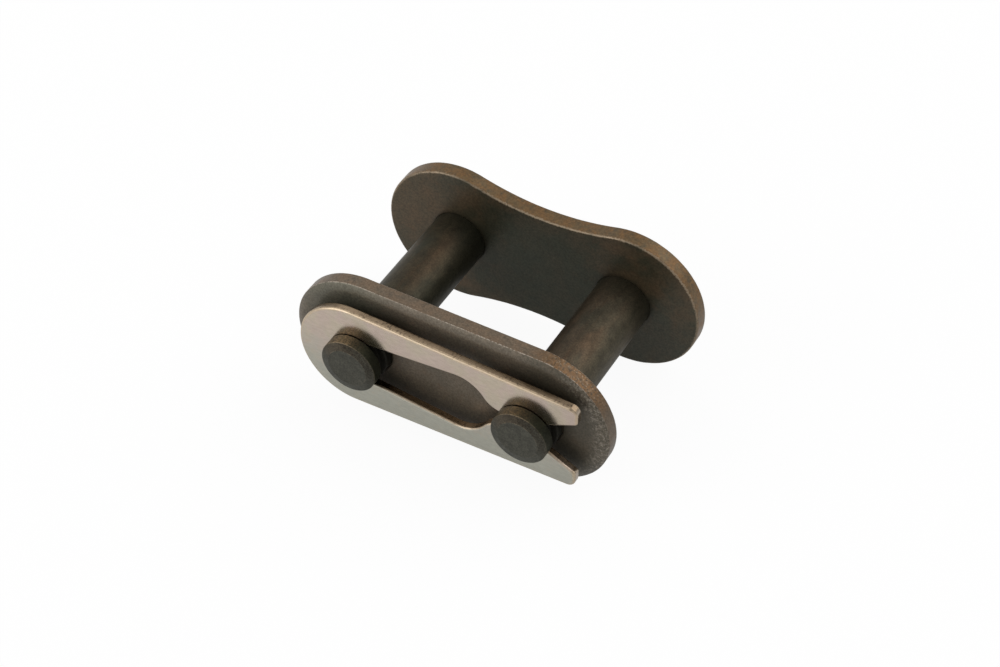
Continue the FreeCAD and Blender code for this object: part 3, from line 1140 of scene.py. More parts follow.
@dataclass(frozen=True)
class CoverPlateFinish(PlateFinish):
    """The cover plate's steel, with painted reflection lightening it along its edge, painted shade
    towards its right end, and scale and rust at its right end.
    """

    name: str = "cover_plate_steel"
    dark: Colour = (0.078, 0.065, 0.046)
    warm: Colour = (0.115, 0.09, 0.064)
    rim: Colour = (0.142, 0.106, 0.07)
    rim_warm: Colour = (0.167, 0.115, 0.072)
    bright: Colour = (0.5, 0.43, 0.35)
    worn: float = 0.85
    broken: float = 2.7
    mottled: float = 0.34
    seed: float = 40.0
    relief: float = 0.009
    fading: Ramp | None = Ramp(10.5, 13.0, 1.0, 0.3)
    # painted reflection: lightens the front face towards its edge, away from the clip
    pale: Colour = (0.2, 0.168, 0.125)
    front: Ramp = Ramp(-7.8, -7.6, 1.0, 0.0)  # along Y, from the front face into the plate
    edge_light_out: Ramp = Ramp(4.4, 6.5)  # out from the line between the pins
    edge_light_left: Ramp = Ramp(-13.0, -8.0, 0.42, 0.65)
    edge_light_right: Ramp = Ramp(2.0, 11.0, 1.0, 0.5)
    olive_end: Patch = Patch((0.115, 0.12, 0.088), 0.5, Spot((-10.0, -SIZES.outer_face, 4.0), 1.5, 4.5))
    middle: Patch = Patch(
        (0.15, 0.12, 0.083), 0.35, Spot((0.0, -SIZES.outer_face, 0.0), 2.0, 4.0, (0.7, 1.0, 1.0))
    )
    shaded: Colour = (0.046, 0.042, 0.026)
    shading: Ramp = Ramp(5.0, 11.0, 0.0, 0.5)
    low_end: Patch = Patch((0.046, 0.048, 0.036), 0.45, Spot((12.5, -SIZES.outer_face, -4.5), 0.5, 3.5))
    scale: Colour = (0.29, 0.25, 0.2)
    scale_out: Ramp = Ramp(4.9, 5.9)
    scale_along: Ramp = Ramp(9.0, 12.0)
    scale_up: Ramp = Ramp(-5.5, 0.0, 0.3, 1.0)
    flakes: Pattern = Pattern(4.2, 4.0, 0.75, shift=77.0)
    flaking: Ramp = Ramp(0.44, 0.66, 0.0, 0.75)
    # painted shade on the rim towards the plate's far end
    rim_shade: Colour = (0.07, 0.045, 0.022)
    rim_shading: Ramp = Ramp(7.0, 12.0, 0.0, 0.5)
    rim_spot: Spot = Spot((11.4, -7.7, 5.8), 1.4, 2.8, (0.8, 1.0, 1.0))
    rim_layers: tuple[tuple[Colour, Pattern, Ramp], ...] = (  # rust, then pits, then glints
        ((0.178, 0.088, 0.029), Pattern(3.0, 4.0, 0.8, shift=58.0), Ramp(0.32, 0.62, 0.35, 1.0)),
        ((0.04, 0.034, 0.02), Pattern(4.0, 3.0, 0.8, shift=66.0), Ramp(0.48, 0.62, 0.0, 0.75)),
        ((0.34, 0.26, 0.17), Pattern(4.8, 2.0, 0.7, shift=71.0), Ramp(0.54, 0.66, 0.0, 0.45)),
    )

    def dress_face(self, s: Surface, colour: Input) -> Input:
        """Paint light on the face towards its edge and shade towards the plate's far end, and add the
        scale at the far end.

        Args:
            s: The material's nodes.
            colour: The faces' colour.

        Returns:
            The dressed colour.
        """
        # painted reflection towards the edge, then painted shade towards the far end
        out = s.times(s.off_pitch_line(), s.ramp(s.y, *self.front))
        pale = s.times(s.ramp(out, *self.edge_light_out), s.ramp(s.x, *self.edge_light_left))
        pale = s.times(pale, s.ramp(s.x, *self.edge_light_right))
        colour = s.patched(s.mix(pale, colour, self.pale), (self.olive_end, self.middle))
        colour = s.mix(s.ramp(s.x, *self.shading), colour, self.shaded)
        colour = s.patched(colour, (self.low_end,))
        scaly = s.times(s.ramp(out, *self.scale_out), s.ramp(s.x, *self.scale_along))
        scaly = s.times(scaly, s.ramp(s.z, *self.scale_up))
        flakes = s.ramp(s.noise(self.flakes), *self.flaking)
        return s.mix(s.times(scaly, flakes), colour, self.scale)

    def dress_rim(self, s: Surface, colour: Input) -> Input:
        """Paint shade on the rim towards its far end, and add the rust, pits and painted glints at the
        rim's upper corner.

        Args:
            s: The material's nodes.
            colour: The rim's colour.

        Returns:
            The dressed colour.
        """
        corner = s.near(self.rim_spot)
        colour = s.mix(s.ramp(s.x, *self.rim_shading), colour, self.rim_shade)
        for layer, pattern, ramp in self.rim_layers:
            colour = s.mix(s.times(corner, s.ramp(s.noise(pattern), *ramp)), colour, layer)
        return colour


@dataclass(frozen=True)
class PinFinish:
    """Dark oiled bar: olive with brown streaks, its head grey-green with rust on one shoulder."""

    name: str
    axis: float
    warm: Colour
    dark: Colour
    side: Colour  # the head's round side
    scorched: Colour  # the rust on it
    # painted light and shade: these tones lighten or darken the bar's left side and its crest
    shading: Ramp  # tones across the bar, from its left flank to its crest
    seed: float
    # painted shade and painted reflection of the dark back plate, towards which the bar darkens
    root_shade: Colour = (0.042, 0.041, 0.026)
    rust: Colour = (0.1, 0.056, 0.028)
    neck: Colour = (0.018, 0.017, 0.012)
    # painted shade on the neck, in the gap between the cover plate and the clip
    ring: Colour = (0.061, 0.06, 0.046)
    brown: Colour = (0.029, 0.022, 0.013)
    face: Colour = (0.063, 0.061, 0.047)
    bright: Colour = (0.3, 0.225, 0.14)
    metallic: float = 0.75
    relief: float = 0.003
    clouds: Pattern = Pattern(0.45, 4.0, 0.6, (1.0, 0.4, 1.0))
    streaks: Pattern = Pattern(3.0, 3.0, 0.6, (1.0, 0.08, 1.0), 7.0)
    grain: Pattern = Pattern(7.0, 3.0, 0.7, shift=13.0)
    mottle: Pattern = Pattern(1.6, 3.0, 0.6, (1.0, 0.6, 1.0), 19.0)
    warming: Ramp = Ramp(0.3, 0.62)
    streaking: Ramp = Ramp(0.5, 0.8, 0.0, 0.35)
    ruddy: Spot = Spot((1.1, 1.0, 2.3), 0.4, 1.7, (1.0, 0.35, 1.0))  # measured from the axis
    ruddy_clouds: Ramp = Ramp(0.4, 0.6, 0.1, 0.45)
    # painted shade on the right side of the bar
    right_flank_shade: Ramp = Ramp(0.6, 2.2, 0.0, 0.65)
    right_flank_shade_tone: float = 1.4
    root_shading: Ramp = Ramp(3.5, SIZES.inner_face, 0.0, 0.6)
    necking: Ramp = Ramp(-SIZES.outer_face, -SIZES.outer_face - 0.1)
    shoulder: Spot = Spot((-1.1, -SIZES.head_front + 0.2, 2.1), 0.8, 1.9)  # measured from the axis
    shoulder_grain: Ramp = Ramp(0.38, 0.6, 0.3, 1.0)
    ring_rust: float = 0.3
    browning: Ramp = Ramp(0.6, 2.4)
    browning_grain: Ramp = Ramp(0.36, 0.6, 0.9, 0.35)
    heading: Ramp = Ramp(-SIZES.head_back, -SIZES.head_back + 0.05, 1.0, 0.0)
    fronting: Ramp = Ramp(0.6, 0.9)
    flattening: Ramp = Ramp(0.978, 0.994)
    graining: Ramp = Ramp(0.25, 0.75, 0.68, 1.32)
    mottling: Ramp = Ramp(0.32, 0.68, 0.84, 1.16)
    broken: float = 1.8  # how far the worn edges are broken up
    wearing: Ramp = Ramp(0.35, 0.9, 0.0, 0.65)
    # these keep the worn crest to the heads' upper side: partly wear, partly a painted highlight
    highlight_up: Ramp = Ramp(-2.0, 1.0, 0.05, 1.0)
    highlight_right: Ramp = Ramp(-0.2, 1.9, 1.0, 0.3)
    roughening: Ramp = Ramp(0.3, 0.7, 0.44, 0.52)
    neck_roughness: float = 0.25

    def _near(self, s: Surface, spot: Spot) -> Socket:
        """1 in a spot that is measured from the pin's axis, and 0 away from it."""
        x, y, z = spot.centre
        return s.near(spot._replace(centre=(self.axis + x, y, z)))

    def _bar(self, s: Surface, clouds: Input, streaks: Input, across: Input) -> Input:
        """The bar's colour, with painted shade towards the back plate and on its neck.

        Args:
            s: The material's nodes.
            clouds: The broad pattern.
            streaks: The pattern along the bar.
            across: Distance from the axis along X.

        Returns:
            The colour.
        """
        bar = s.mix(s.ramp(clouds, *self.warming), self.dark, self.warm)
        bar = s.mix(s.ramp(streaks, *self.streaking), bar, self.rust)
        ruddy = s.times(self._near(s, self.ruddy), s.ramp(clouds, *self.ruddy_clouds))
        # the rust patch, then painted light and shade across the bar
        bar = s.toned(s.mix(ruddy, bar, self.rust), s.ramp(across, *self.shading))
        # painted shade darkens the right side of the bar
        bar = s.mix(s.ramp(across, *self.right_flank_shade), bar, s.toned(self.dark, self.right_flank_shade_tone))
        # painted shade and painted reflection darken the bar towards the back plate
        bar = s.mix(s.ramp(s.y, *self.root_shading), bar, self.root_shade)
        # painted shade on the neck
        return s.mix(s.ramp(s.y, *self.necking), bar, self.neck)

    def material(self) -> bpy.types.Material:
        """Make the pin's material.

        Returns:
            The material.
        """
        s = Surface(self.name)
        patterns = (self.clouds, self.streaks, self.grain, self.mottle)
        clouds, streaks, grain, mottle = (s.noise(each, self.seed) for each in patterns)
        across = s.math("SUBTRACT", s.x, self.axis)
        slanting = s.plus(across, s.z)
        rusty = self._near(s, self.shoulder)
        side = s.mix(s.times(rusty, s.ramp(grain, *self.shoulder_grain)), self.side, self.scorched)
        ring = s.mix(s.times(rusty, self.ring_rust), self.ring, self.rust)
        browned = s.times(s.ramp(slanting, *self.browning), s.ramp(grain, *self.browning_grain))
        ring = s.mix(browned, ring, self.brown)
        on_head = s.ramp(s.y, *self.heading)
        colour = s.mix(on_head, self._bar(s, clouds, streaks, across), side)
        colour = s.mix(s.times(s.ramp(s.facing_y, *self.fronting), on_head), colour, ring)
        colour = s.mix(s.times(s.ramp(s.facing_y, *self.flattening), on_head), colour, self.face)
        colour = s.toned(colour, s.ramp(grain, *self.graining))
        colour = s.toned(colour, s.ramp(mottle, *self.mottling))
        # a worn bright crest, partly wear and partly a painted highlight on the heads' upper side
        worn = s.ramp(s.plus(s.mark(Mark.WEAR), s.swing(grain, self.broken)), *self.wearing)
        seen = s.times(s.ramp(slanting, *self.highlight_up), s.ramp(across, *self.highlight_right))
        colour = s.mix(s.times(worn, seen), colour, self.bright)
        on_neck = s.math("SUBTRACT", s.ramp(s.y, *self.necking), on_head, True)
        rough = s.plus(s.ramp(streaks, *self.roughening), s.times(on_neck, self.neck_roughness))
        return s.finish(colour, rough, s.layered(grain, streaks), self.metallic, self.relief)


@dataclass(frozen=True)
class ClipFinish:
    """Pale satin spring steel, with a tan crest that is partly a painted highlight, a brown rim, darker
    cut insides, and painted light and shade.
    """

    name: str = "spring_clip_steel"
    face: Colour = (0.56, 0.48, 0.38)
    pink: Colour = (0.57, 0.465, 0.395)
    # painted reflection: a cooler, darker colour low on the clip stands in for the shaded floor it
    # reflects
    cool_low_reflection: Colour = (0.46, 0.455, 0.39)
    tan: Colour = (0.55, 0.43, 0.29)
    wall: Colour = (0.3, 0.22, 0.145)
    cut: Colour = (0.34, 0.25, 0.165)
    # painted light on the tips' end walls, which lie in shade
    tip: Colour = (0.5, 0.42, 0.33)
    # painted light on the funnel's walls
    funnel: Colour = (0.66, 0.53, 0.42)
    stain: Colour = (0.06, 0.045, 0.032)
    metallic: float = 1.0
    relief: float = 0.0015
    mottle: Pattern = Pattern(1.3, 4.0, 0.6, shift=9.0)
    brushed: Pattern = Pattern(6.0, 3.0, 0.6, (0.3, 1.0, 1.0), 17.0)
    grain: Pattern = Pattern(6.0, 3.0, 0.7, (1.0, 0.5, 1.0), 41.0)
    blush: Pattern = Pattern(0.55, 3.0, 0.5, shift=23.0)
    holes: Pattern = Pattern(0.9, 2.0, 0.5, shift=63.0)
    blushing: Ramp = Ramp(0.4, 0.62)
    # painted reflection, cooler and darker towards the bottom
    reflection_rise: Ramp = Ramp(-4.0, 3.0)  # along Z, from the cool colour to the warm one
    reflection_rise_spread: float = 4.0  # how far the mottling moves that
    tanning: Ramp = Ramp(0.5, 0.8, 0.0, 0.2)
    # painted light and shade along the inside cuts: darker at the slot's left end and near pin B's seat
    cut_shade_tones: tuple[Ramp, ...] = (Ramp(-4.0, 2.0, 0.65, 1.15), Ramp(9.0, 10.0, 1.0, 0.6))  # along X
    funnel_lighting: Ramp = Ramp(10.0, 11.5)
    tip_end_lighting: Ramp = Ramp(12.2, 12.42, 0.0, 0.8)
    holing: Ramp = Ramp(0.4, 0.6, 0.25, 0.85)
    staining: Ramp = Ramp(0.5, 0.66)
    turned_in: Ramp = Ramp(0.7, 0.98, 0.8, 0.0)  # as TURNED_AWAY, at the inside cuts
    broken: float = 2.0  # how far the crest is broken up
    chipping: Ramp = Ramp(0.0, 0.3)
    cresting: Ramp = Ramp(0.1, 1.0, 0.0, 0.75)
    inside_crest: float = 0.1
    nick: Patch = Patch(stain, 0.85, Spot((11.95, -9.96, 4.42), 0.03, 0.12, (0.45, 1.0, 1.0)))
    brushing: Ramp = Ramp(0.25, 0.75, 0.94, 1.06)
    # painted shade, darker towards the tips
    tip_shading: Ramp = Ramp(9.0, 12.0, 1.0, 0.9)  # along X
    roughening: Ramp = Ramp(0.3, 0.7, 0.18, 0.23)
    crest_roughness: float = 0.18

    def _wall(self, s: Surface, grain: Input, inside: Input) -> Input:
        """The rim's colour: cut metal inside, brown with dark stains outside.

        Args:
            s: The material's nodes.
            grain: The fine pattern.
            inside: Where the inside cuts are.

        Returns:
            The colour.
        """
        cut: Input = self.cut
        # painted light and shade along the inside cuts
        for tone in self.cut_shade_tones:
            cut = s.toned(cut, s.ramp(s.x, *tone))
        # painted light on the funnel's walls
        cut = s.mix(s.ramp(s.x, *self.funnel_lighting), cut, self.funnel)
        # painted light on the tips' end walls
        wall = s.mix(s.ramp(s.x, *self.tip_end_lighting), self.wall, self.tip)
        wall = s.mix(inside, wall, cut)
        holed = s.ramp(s.noise(self.holes), *self.holing)
        return s.mix(s.times(s.ramp(grain, *self.staining), holed), wall, self.stain)

    def material(self) -> bpy.types.Material:
        """Make the clip's material.

        Returns:
            The material.
        """
        s = Surface(self.name)
        mottle, brushed, grain = (s.noise(each) for each in (self.mottle, self.brushed, self.grain))
        inside = s.mark(Mark.INSIDE)
        wear = s.mark(Mark.WEAR)
        height = s.plus(s.z, s.swing(mottle, self.reflection_rise_spread))
        colour = s.mix(s.ramp(s.noise(self.blush), *self.blushing), self.face, self.pink)
        # painted reflection, cooler and darker towards the bottom
        colour = s.mix(s.ramp(height, *self.reflection_rise), self.cool_low_reflection, colour)
        colour = s.mix(s.ramp(mottle, *self.tanning), colour, self.tan)
        turned_in = s.times(s.ramp(s.facing_y, *self.turned_in), inside)
        on_wall = s.math("MAXIMUM", s.ramp(s.facing_y, *TURNED_AWAY), turned_in)
        colour = s.mix(on_wall, colour, self._wall(s, grain, inside))
        chipped = s.times(s.plus(wear, s.swing(grain, -self.broken)), s.ramp(wear, *self.chipping))
        outside = s.math("MAXIMUM", s.math("SUBTRACT", 1.0, inside), self.inside_crest)
        # the tan crest: partly worn tan, partly a painted highlight on the rounded edge
        colour = s.mix(s.times(s.ramp(chipped, *self.cresting), outside), colour, self.tan)
        colour = s.patched(colour, (self.nick,))
        colour = s.toned(colour, s.ramp(brushed, *self.brushing))
        # painted shade towards the tips
        colour = s.toned(colour, s.ramp(s.x, *self.tip_shading))
        rough = s.plus(s.ramp(mottle, *self.roughening), s.times(wear, self.crest_roughness))
        return s.finish(colour, rough, brushed, self.metallic, self.relief)


# Pieces


def place_piece(piece: bpy.types.Object, part: Part, body: Body) -> None:
    """Tie a finished piece to the frame and report it.

    Args:
        piece: The piece, standing in its place.
        part: The frame's node that it stands for.
        body: The body that it moves with.
    """
    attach(piece, body.value)
    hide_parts(part.value)
    LOG.info("%s: %d faces on %s", piece.name, len(piece.data.polygons), body.value)


@dataclass
class BackPlateAssembly:
    """The waisted back plate and the two pins that are riveted into it."""

    press: Press
    end_radius: float = 6.74
    end_offset: float = 0.25
    waist_depth: float = 1.12
    edge_round: float = 0.2
    rear_round: float = 0.15
    face_inset: float = 0.3
    crest_reach: float = 0.7
    bore_round: float = 0.06
    bore_inset: float = 0.25
    seed: float = 1.0
    head_face_diameter: float = 3.6
    head_face_edge: Edge = Edge(0.35, 0.75)
    head_chamfer: float = 0.18
    head_front_edge: Edge = Edge(0.08, 0.9)
    head_rear_edge: Edge = Edge(0.04, 0.3)
    groove_corner: Edge = Edge(0.08)
    shoulder_chamfer: float = 0.1
    shoulder_edge: Edge = Edge(0.03, 0.15)
    bar_edge: Edge = Edge(0.03)
    rivet_corner: Edge = Edge(0.01)  # between the bar and the rivet, at the plate's rear face
    rivet_diameter: float = 5.7
    rivet_foot: Edge = Edge(0.05)
    rivet_rim: float = 0.2
    rivet_edge: Edge = Edge(0.12, 0.9)
    rivet_height: float = 0.65
    crown_diameter: float = 4.7
    crown_edge: Edge = Edge(0.3, 0.6)
    dimple_diameter: float = 1.8
    dimple_edge: Edge = Edge(0.12, 0.6)
    dimple_depth: float = 0.25
    pin_a_finish: PinFinish = PinFinish(
        "pin_a_steel",
        SIZES.pin_a,
        warm=(0.047, 0.038, 0.022),
        dark=(0.033, 0.032, 0.02),
        side=(0.041, 0.043, 0.028),
        scorched=(0.14, 0.1, 0.055),
        shading=Ramp(-2.0, 1.0, 1.22, 0.84),
        seed=4.0,
    )
    pin_b_finish: PinFinish = PinFinish(
        "pin_b_steel",
        SIZES.pin_b,
        warm=(0.084, 0.06, 0.037),
        dark=(0.05, 0.044, 0.028),
        side=(0.033, 0.035, 0.022),
        scorched=(0.1, 0.07, 0.036),
        shading=Ramp(-2.0, 1.0, 0.84, 1.0),
        seed=8.0,
    )

    def outline(self) -> Contour:
        """Join two round ends by hollow arcs that touch both.

        Returns:
            The outline.
        """
        end = SIZES.pitch / 2 + self.end_offset
        waist = self.end_radius - self.waist_depth
        # The hollow arc's centre stands straight above the middle, and its circle touches both end rounds
        hollow = (end**2 + waist**2 - self.end_radius**2) / (2 * (self.end_radius - waist))
        centre = waist + hollow
        lean = math.atan2(centre, end)
        outline = Contour()
        outline.arc((end, 0.0), self.end_radius, lean - math.pi, math.pi - lean)
        outline.arc((0.0, centre), hollow, -lean, lean - math.pi)
        outline.arc((-end, 0.0), self.end_radius, lean, 2 * math.pi - lean)
        outline.arc((0.0, -centre), hollow, math.pi - lean, lean)
        return outline.closed()

    def plate(self) -> bpy.types.Object:
        """Make the back plate.

        Returns:
            The plate.
        """
        faces = (SIZES.inner_face, SIZES.outer_face)
        edge = sheet_section(*faces, self.edge_round, self.rear_round, self.face_inset)
        edge = replace(edge, crest_reach=self.crest_reach)
        bore_edge = sheet_section(*faces, self.bore_round, self.bore_round, self.bore_inset, wear=0.0)
        holes = (hole(SIZES.pin_a, SIZES.pin_radius), hole(SIZES.pin_b, SIZES.pin_radius))
        sheet = Sheet("back_plate_visual", self.outline(), edge, holes, bore_edge, seed=self.seed)
        return self.press.stamp(sheet, BackPlateFinish().material())

    def pin(self, part: Part, finish: PinFinish) -> bpy.types.Object:
        """Make a pin.

        Args:
            part: Which of the two pins it is.
            finish: Its steel, whose axis and seed the pin follows.

        Returns:
            The pin.
        """
        radius = SIZES.pin_radius
        groove = SIZES.groove_diameter / 2
        end = SIZES.outer_face + self.rivet_height
        collar = self.rivet_diameter / 2
        crown = self.crown_diameter / 2
        section = Section(
            (
                Corner(0.0, -SIZES.head_front),
                Corner(self.head_face_diameter / 2, -SIZES.head_front, *self.head_face_edge),
                Corner(radius, -SIZES.head_front + self.head_chamfer, *self.head_front_edge),
                Corner(radius, -SIZES.head_back, *self.head_rear_edge),
                Corner(groove, -SIZES.head_back, *self.groove_corner),
                Corner(groove, -SIZES.shoulder, *self.groove_corner),
                Corner(radius - self.shoulder_chamfer, -SIZES.shoulder, *self.shoulder_edge),
                Corner(radius, -SIZES.shoulder + self.shoulder_chamfer, *self.bar_edge),
                Corner(radius, SIZES.outer_face, *self.rivet_corner),
                Corner(collar, SIZES.outer_face, *self.rivet_foot),
                Corner(collar, SIZES.outer_face + self.rivet_rim, *self.rivet_edge),
                Corner(crown, end, *self.crown_edge),
                Corner(self.dimple_diameter / 2, end, *self.dimple_edge),
                Corner(0.0, end - self.dimple_depth),
            )
        )
        bar = Bar(f"{part.value}_visual", section, finish.axis, seed=finish.seed)
        return self.press.turn(bar, finish.material())

    def build(self) -> None:
        """Make the plate and both pins, and tie them to the frame."""
        place_piece(self.plate(), Part.BACK_PLATE, Body.LINK)
        for part, finish in ((Part.PIN_A, self.pin_a_finish), (Part.PIN_B, self.pin_b_finish)):
            place_piece(self.pin(part, finish), part, Body.LINK)


@dataclass
class CoverPlateAssembly:
    """The loose cover plate, straight-sided with round ends."""

    press: Press
    height: float = 12.8
    end_offset: float = 0.25
    clearance: float = 0.03
    hole_round: float = 0.12
    hole_inset: float = 0.25
    hole_wear: float = 0.25
    face_inset: float = 1.0
    roll_width: float = 0.44  # the die has drawn the front face down towards its edge
    roll_depth: float = 0.24
    roll_edge: Edge = Edge(1.4)
    front_edge: Edge = Edge(0.1, 1.0)
    rear_edge: Edge = Edge(0.15, REAR_WEAR)
    edge_steps: int = 8
    seed: float = 5.0

    def outline(self) -> Contour:
        """Join two round ends by straight sides.

        Returns:
            The outline.
        """
        end = SIZES.pitch / 2 + self.end_offset
        radius = self.height / 2
        quarter = math.pi / 2
        outline = Contour()
        outline.arc((end, 0.0), radius, -quarter, quarter)
        outline.arc((-end, 0.0), radius, quarter, 3 * quarter)
        outline.line(outline.points[0])
        return outline.closed()

    def build(self) -> None:
        """Make the cover plate and tie it to the frame."""
        front, rear = -SIZES.outer_face, -SIZES.inner_face
        edge = Section(
            (
                Corner(-self.face_inset, front),
                Corner(-self.roll_width, front, *self.roll_edge),
                Corner(0.0, front + self.roll_depth, *self.front_edge),
                Corner(0.0, rear, *self.rear_edge),
                Corner(-self.face_inset, rear),
            ),
            self.edge_steps,
        )
        rounds = (self.hole_round, self.hole_round)
        hole_edge = sheet_section(front, rear, *rounds, self.hole_inset, self.hole_wear)
        radius = SIZES.pin_radius + self.clearance
        holes = (hole(SIZES.pin_a, radius), hole(SIZES.pin_b, radius))
        sheet = Sheet("cover_plate_visual", self.outline(), edge, holes, hole_edge, seed=self.seed)
        plate = self.press.stamp(sheet, CoverPlateFinish().material())
        place_piece(plate, Part.COVER_PLATE, Body.COVER)


@dataclass
class SpringClipAssembly:
    """The one-piece clip: round closed end, slot, neck, seat round pin B and flared tips."""

    press: Press
    end_radius: float = 5.05
    end_offset: float = 0.35
    reach: float = 4.56
    tip_height: float = 8.9
    slot_end_distance: float = 6.24
    head_pass: float = 0.34
    seat_play: float = 0.07
    neck_width: float = 1.5
    throat_width: float = 2.5
    funnel_width: float = 5.7
    neck_slot_radius: float = 2.1
    neck_seat_radius: float = 0.25
    throat_radius: float = 0.35
    tip_outer_radius: float = 0.75
    tip_inner_radius: float = 0.3
    edge_round: float = 0.22
    rear_round: float = 0.1
    face_inset: float = 0.243  # wider, the face's outline would cross itself at the seat's corners
    crest_reach: float = 0.9
    support: float = 0.015
    nick: float = 0.006
    seed: float = 9.0

    def outline(self) -> Contour:
        """Run round the lower leg's half, and then round the same mirrored.

        Returns:
            The outline.
        """
        half = self._lower_half()
        points = half.points + [(x, -z) for x, z in reversed(half.points)]
        inside = half.inside + list(reversed(half.inside))
        whole = Contour(half.step)
        for (x, z), value in zip(points, inside):
            whole.add(x, z, value)
        return whole.closed()

    def _lower_half(self) -> Contour:
        """Run from the closed end's outside, round the lower tip, to the slot's closed end.

        Returns:
            The lower half of the outline.
        """
        end = (SIZES.pin_a - self.end_offset, 0.0)
        tip = SIZES.pin_b + self.reach
        tip_low = -self.tip_height / 2
        span = math.hypot(tip - end[0], tip_low)
        touch = math.atan2(-tip_low, tip - end[0]) + math.acos(self.end_radius / span)
        seat_radius = SIZES.groove_diameter / 2 + self.seat_play
        pin_b = (SIZES.pin_b, 0.0)
        half = Contour()
        half.arc(end, self.end_radius, math.pi, 2 * math.pi - touch)
        tangent = half.points[-1]
        outer, inner = (tip, tip_low), (tip, -self.funnel_width / 2)
        throat_x = SIZES.pin_b + math.sqrt(seat_radius**2 - (self.throat_width / 2) ** 2)
        throat = (throat_x, -self.throat_width / 2)
        half.corner(tangent, outer, inner, self.tip_outer_radius)
        half.corner(outer, inner, throat, self.tip_inner_radius)
        self._seat(half, pin_b, seat_radius, inner, throat)
        self._slot(half, seat_radius)
        return half

    def _seat(self, half: Contour, pin_b: Point, radius: float, tip: Point, throat: Point) -> None:
        """Run up the funnel, round the throat's corner and along the seat to the neck.

        Args:
            half: The outline so far.
            pin_b: Pin B's axis.
            radius: The seat's radius.
            tip: Where the funnel starts.
            throat: The sharp corner between funnel and seat.
        """
        run = (Vector(throat) - Vector(tip)).normalized()
        # The metal lies below the funnel's edge, and the throat's rounding has its centre there
        below = Vector((-run.y, run.x)) * self.throat_radius
        start = Vector(throat) + below - Vector(pin_b)
        reach = radius + self.throat_radius
        along = -start.dot(run) - math.sqrt(start.dot(run) ** 2 - start.dot(start) + reach**2)
        centre = Vector(pin_b) + start + run * along
        facing = math.atan2(-below.y, -below.x)
        to_pin = math.atan2(pin_b[1] - centre.y, pin_b[0] - centre.x)
        half.arc((centre.x, centre.y), self.throat_radius, facing, to_pin, 1.0)
        low = math.atan2(centre.y - pin_b[1], centre.x - pin_b[0])
        drop = -self.neck_width / 2 - self.neck_seat_radius
        span = math.sqrt((radius + self.neck_seat_radius) ** 2 - drop**2)
        neck = (SIZES.pin_b - span, drop)
        far = math.atan2(drop, -span)
        half.arc(pin_b, radius, low, far, 1.0)
        half.arc(neck, self.neck_seat_radius, far + math.pi, math.pi / 2, 1.0)

    def _slot(self, half: Contour, small: float) -> None:
        """Run along the neck and the slot's wide end to its closed end.

        Args:
            half: The outline so far.
            small: Radius of the slot's closed end.
        """
        large = SIZES.pin_radius + self.head_pass
        wide = (SIZES.pin_b - self.slot_end_distance, 0.0)
        narrow = (SIZES.pin_a, 0.0)
        drop = -self.neck_width / 2 - self.neck_slot_radius
        span = math.sqrt((large + self.neck_slot_radius) ** 2 - drop**2)
        corner = (wide[0] + span, drop)
        facing = math.atan2(drop, span)
        half.arc(corner, self.neck_slot_radius, math.pi / 2, facing + math.pi, 1.0)
        lean = -math.pi / 2 - math.asin((large - small) / (wide[0] - narrow[0]))
        half.arc(wide, large, facing, lean, 1.0)
        half.arc(narrow, small, lean, -math.pi, 1.0)

    def build(self) -> None:
        """Make the clip and tie it to the frame."""
        rear = -SIZES.shoulder - SIZES.clip_side_play
        front = rear - SIZES.clip_thickness
        section = sheet_section(front, rear, self.edge_round, self.rear_round, self.face_inset)
        section = replace(section, crest_reach=self.crest_reach, support=self.support)
        sheet = Sheet(
            "spring_clip_visual", self.outline(), section, nick=self.nick, seed=self.seed
        )
        clip = self.press.stamp(sheet, ClipFinish().material())
        place_piece(clip, Part.SPRING_CLIP, Body.CLIP)


# Studio


@dataclass(frozen=True)
class PhotoCamera:
    """The camera at the photograph's viewing angle, as fitted to its edges."""

    azimuth: float = 29.35
    elevation: float = 45.26
    roll: float = 0.27
    distance: float = 177.33
    right: float = 3.424
    up: float = 2.951
    origin: Place = (0.0, -6.9, 0.0)  # where it looks, moved by right and up
    focal_pixels: float = 2180.2
    frame_pixels: float = 1000.0
    sensor: float = 36.0
    nearest: float = 0.01
    farthest: float = 10.0

    def build(self) -> None:
        """Make the camera and give it to the scene."""
        azimuth, elevation, roll = (math.radians(a) for a in (self.azimuth, self.elevation, self.roll))
        back = Vector((
            math.sin(azimuth) * math.cos(elevation),
            -math.cos(azimuth) * math.cos(elevation),
            math.sin(elevation),
        ))
        flat = Vector((0.0, 0.0, 1.0)).cross(back).normalized()
        high = back.cross(flat)
        right = flat * math.cos(roll) + high * math.sin(roll)
        up = high * math.cos(roll) - flat * math.sin(roll)
        place = right * self.right + up * self.up + back * self.distance + Vector(self.origin)
        data = bpy.data.cameras.new("photo_camera")
        data.sensor_width = self.sensor
        data.sensor_fit = "HORIZONTAL"
        data.lens = self.sensor * self.focal_pixels / self.frame_pixels
        data.clip_start = self.nearest
        data.clip_end = self.farthest
        camera = bpy.data.objects.new("photo_camera", data)
        turned = Matrix((right, up, back)).transposed().to_4x4()
        camera.matrix_world = Matrix.Translation(place * MM) @ turned
        bpy.context.scene.collection.objects.link(camera)
        bpy.context.scene.camera = camera


@dataclass(frozen=True)
class Lamp:
    """A soft square lamp that looks at the object."""

    name: str
    place: Place
    size: float
    power: float

    def build(self) -> None:
        """Hang the lamp."""
        data = bpy.data.lights.new(self.name, "AREA")
        data.shape = "SQUARE"
        data.size = self.size
        data.energy = self.power
        lamp = bpy.data.objects.new(self.name, data)
        place = Vector(self.place)
        lamp.location = place
        lamp.rotation_euler = place.to_track_quat("Z", "Y").to_euler()
        bpy.context.scene.collection.objects.link(lamp)


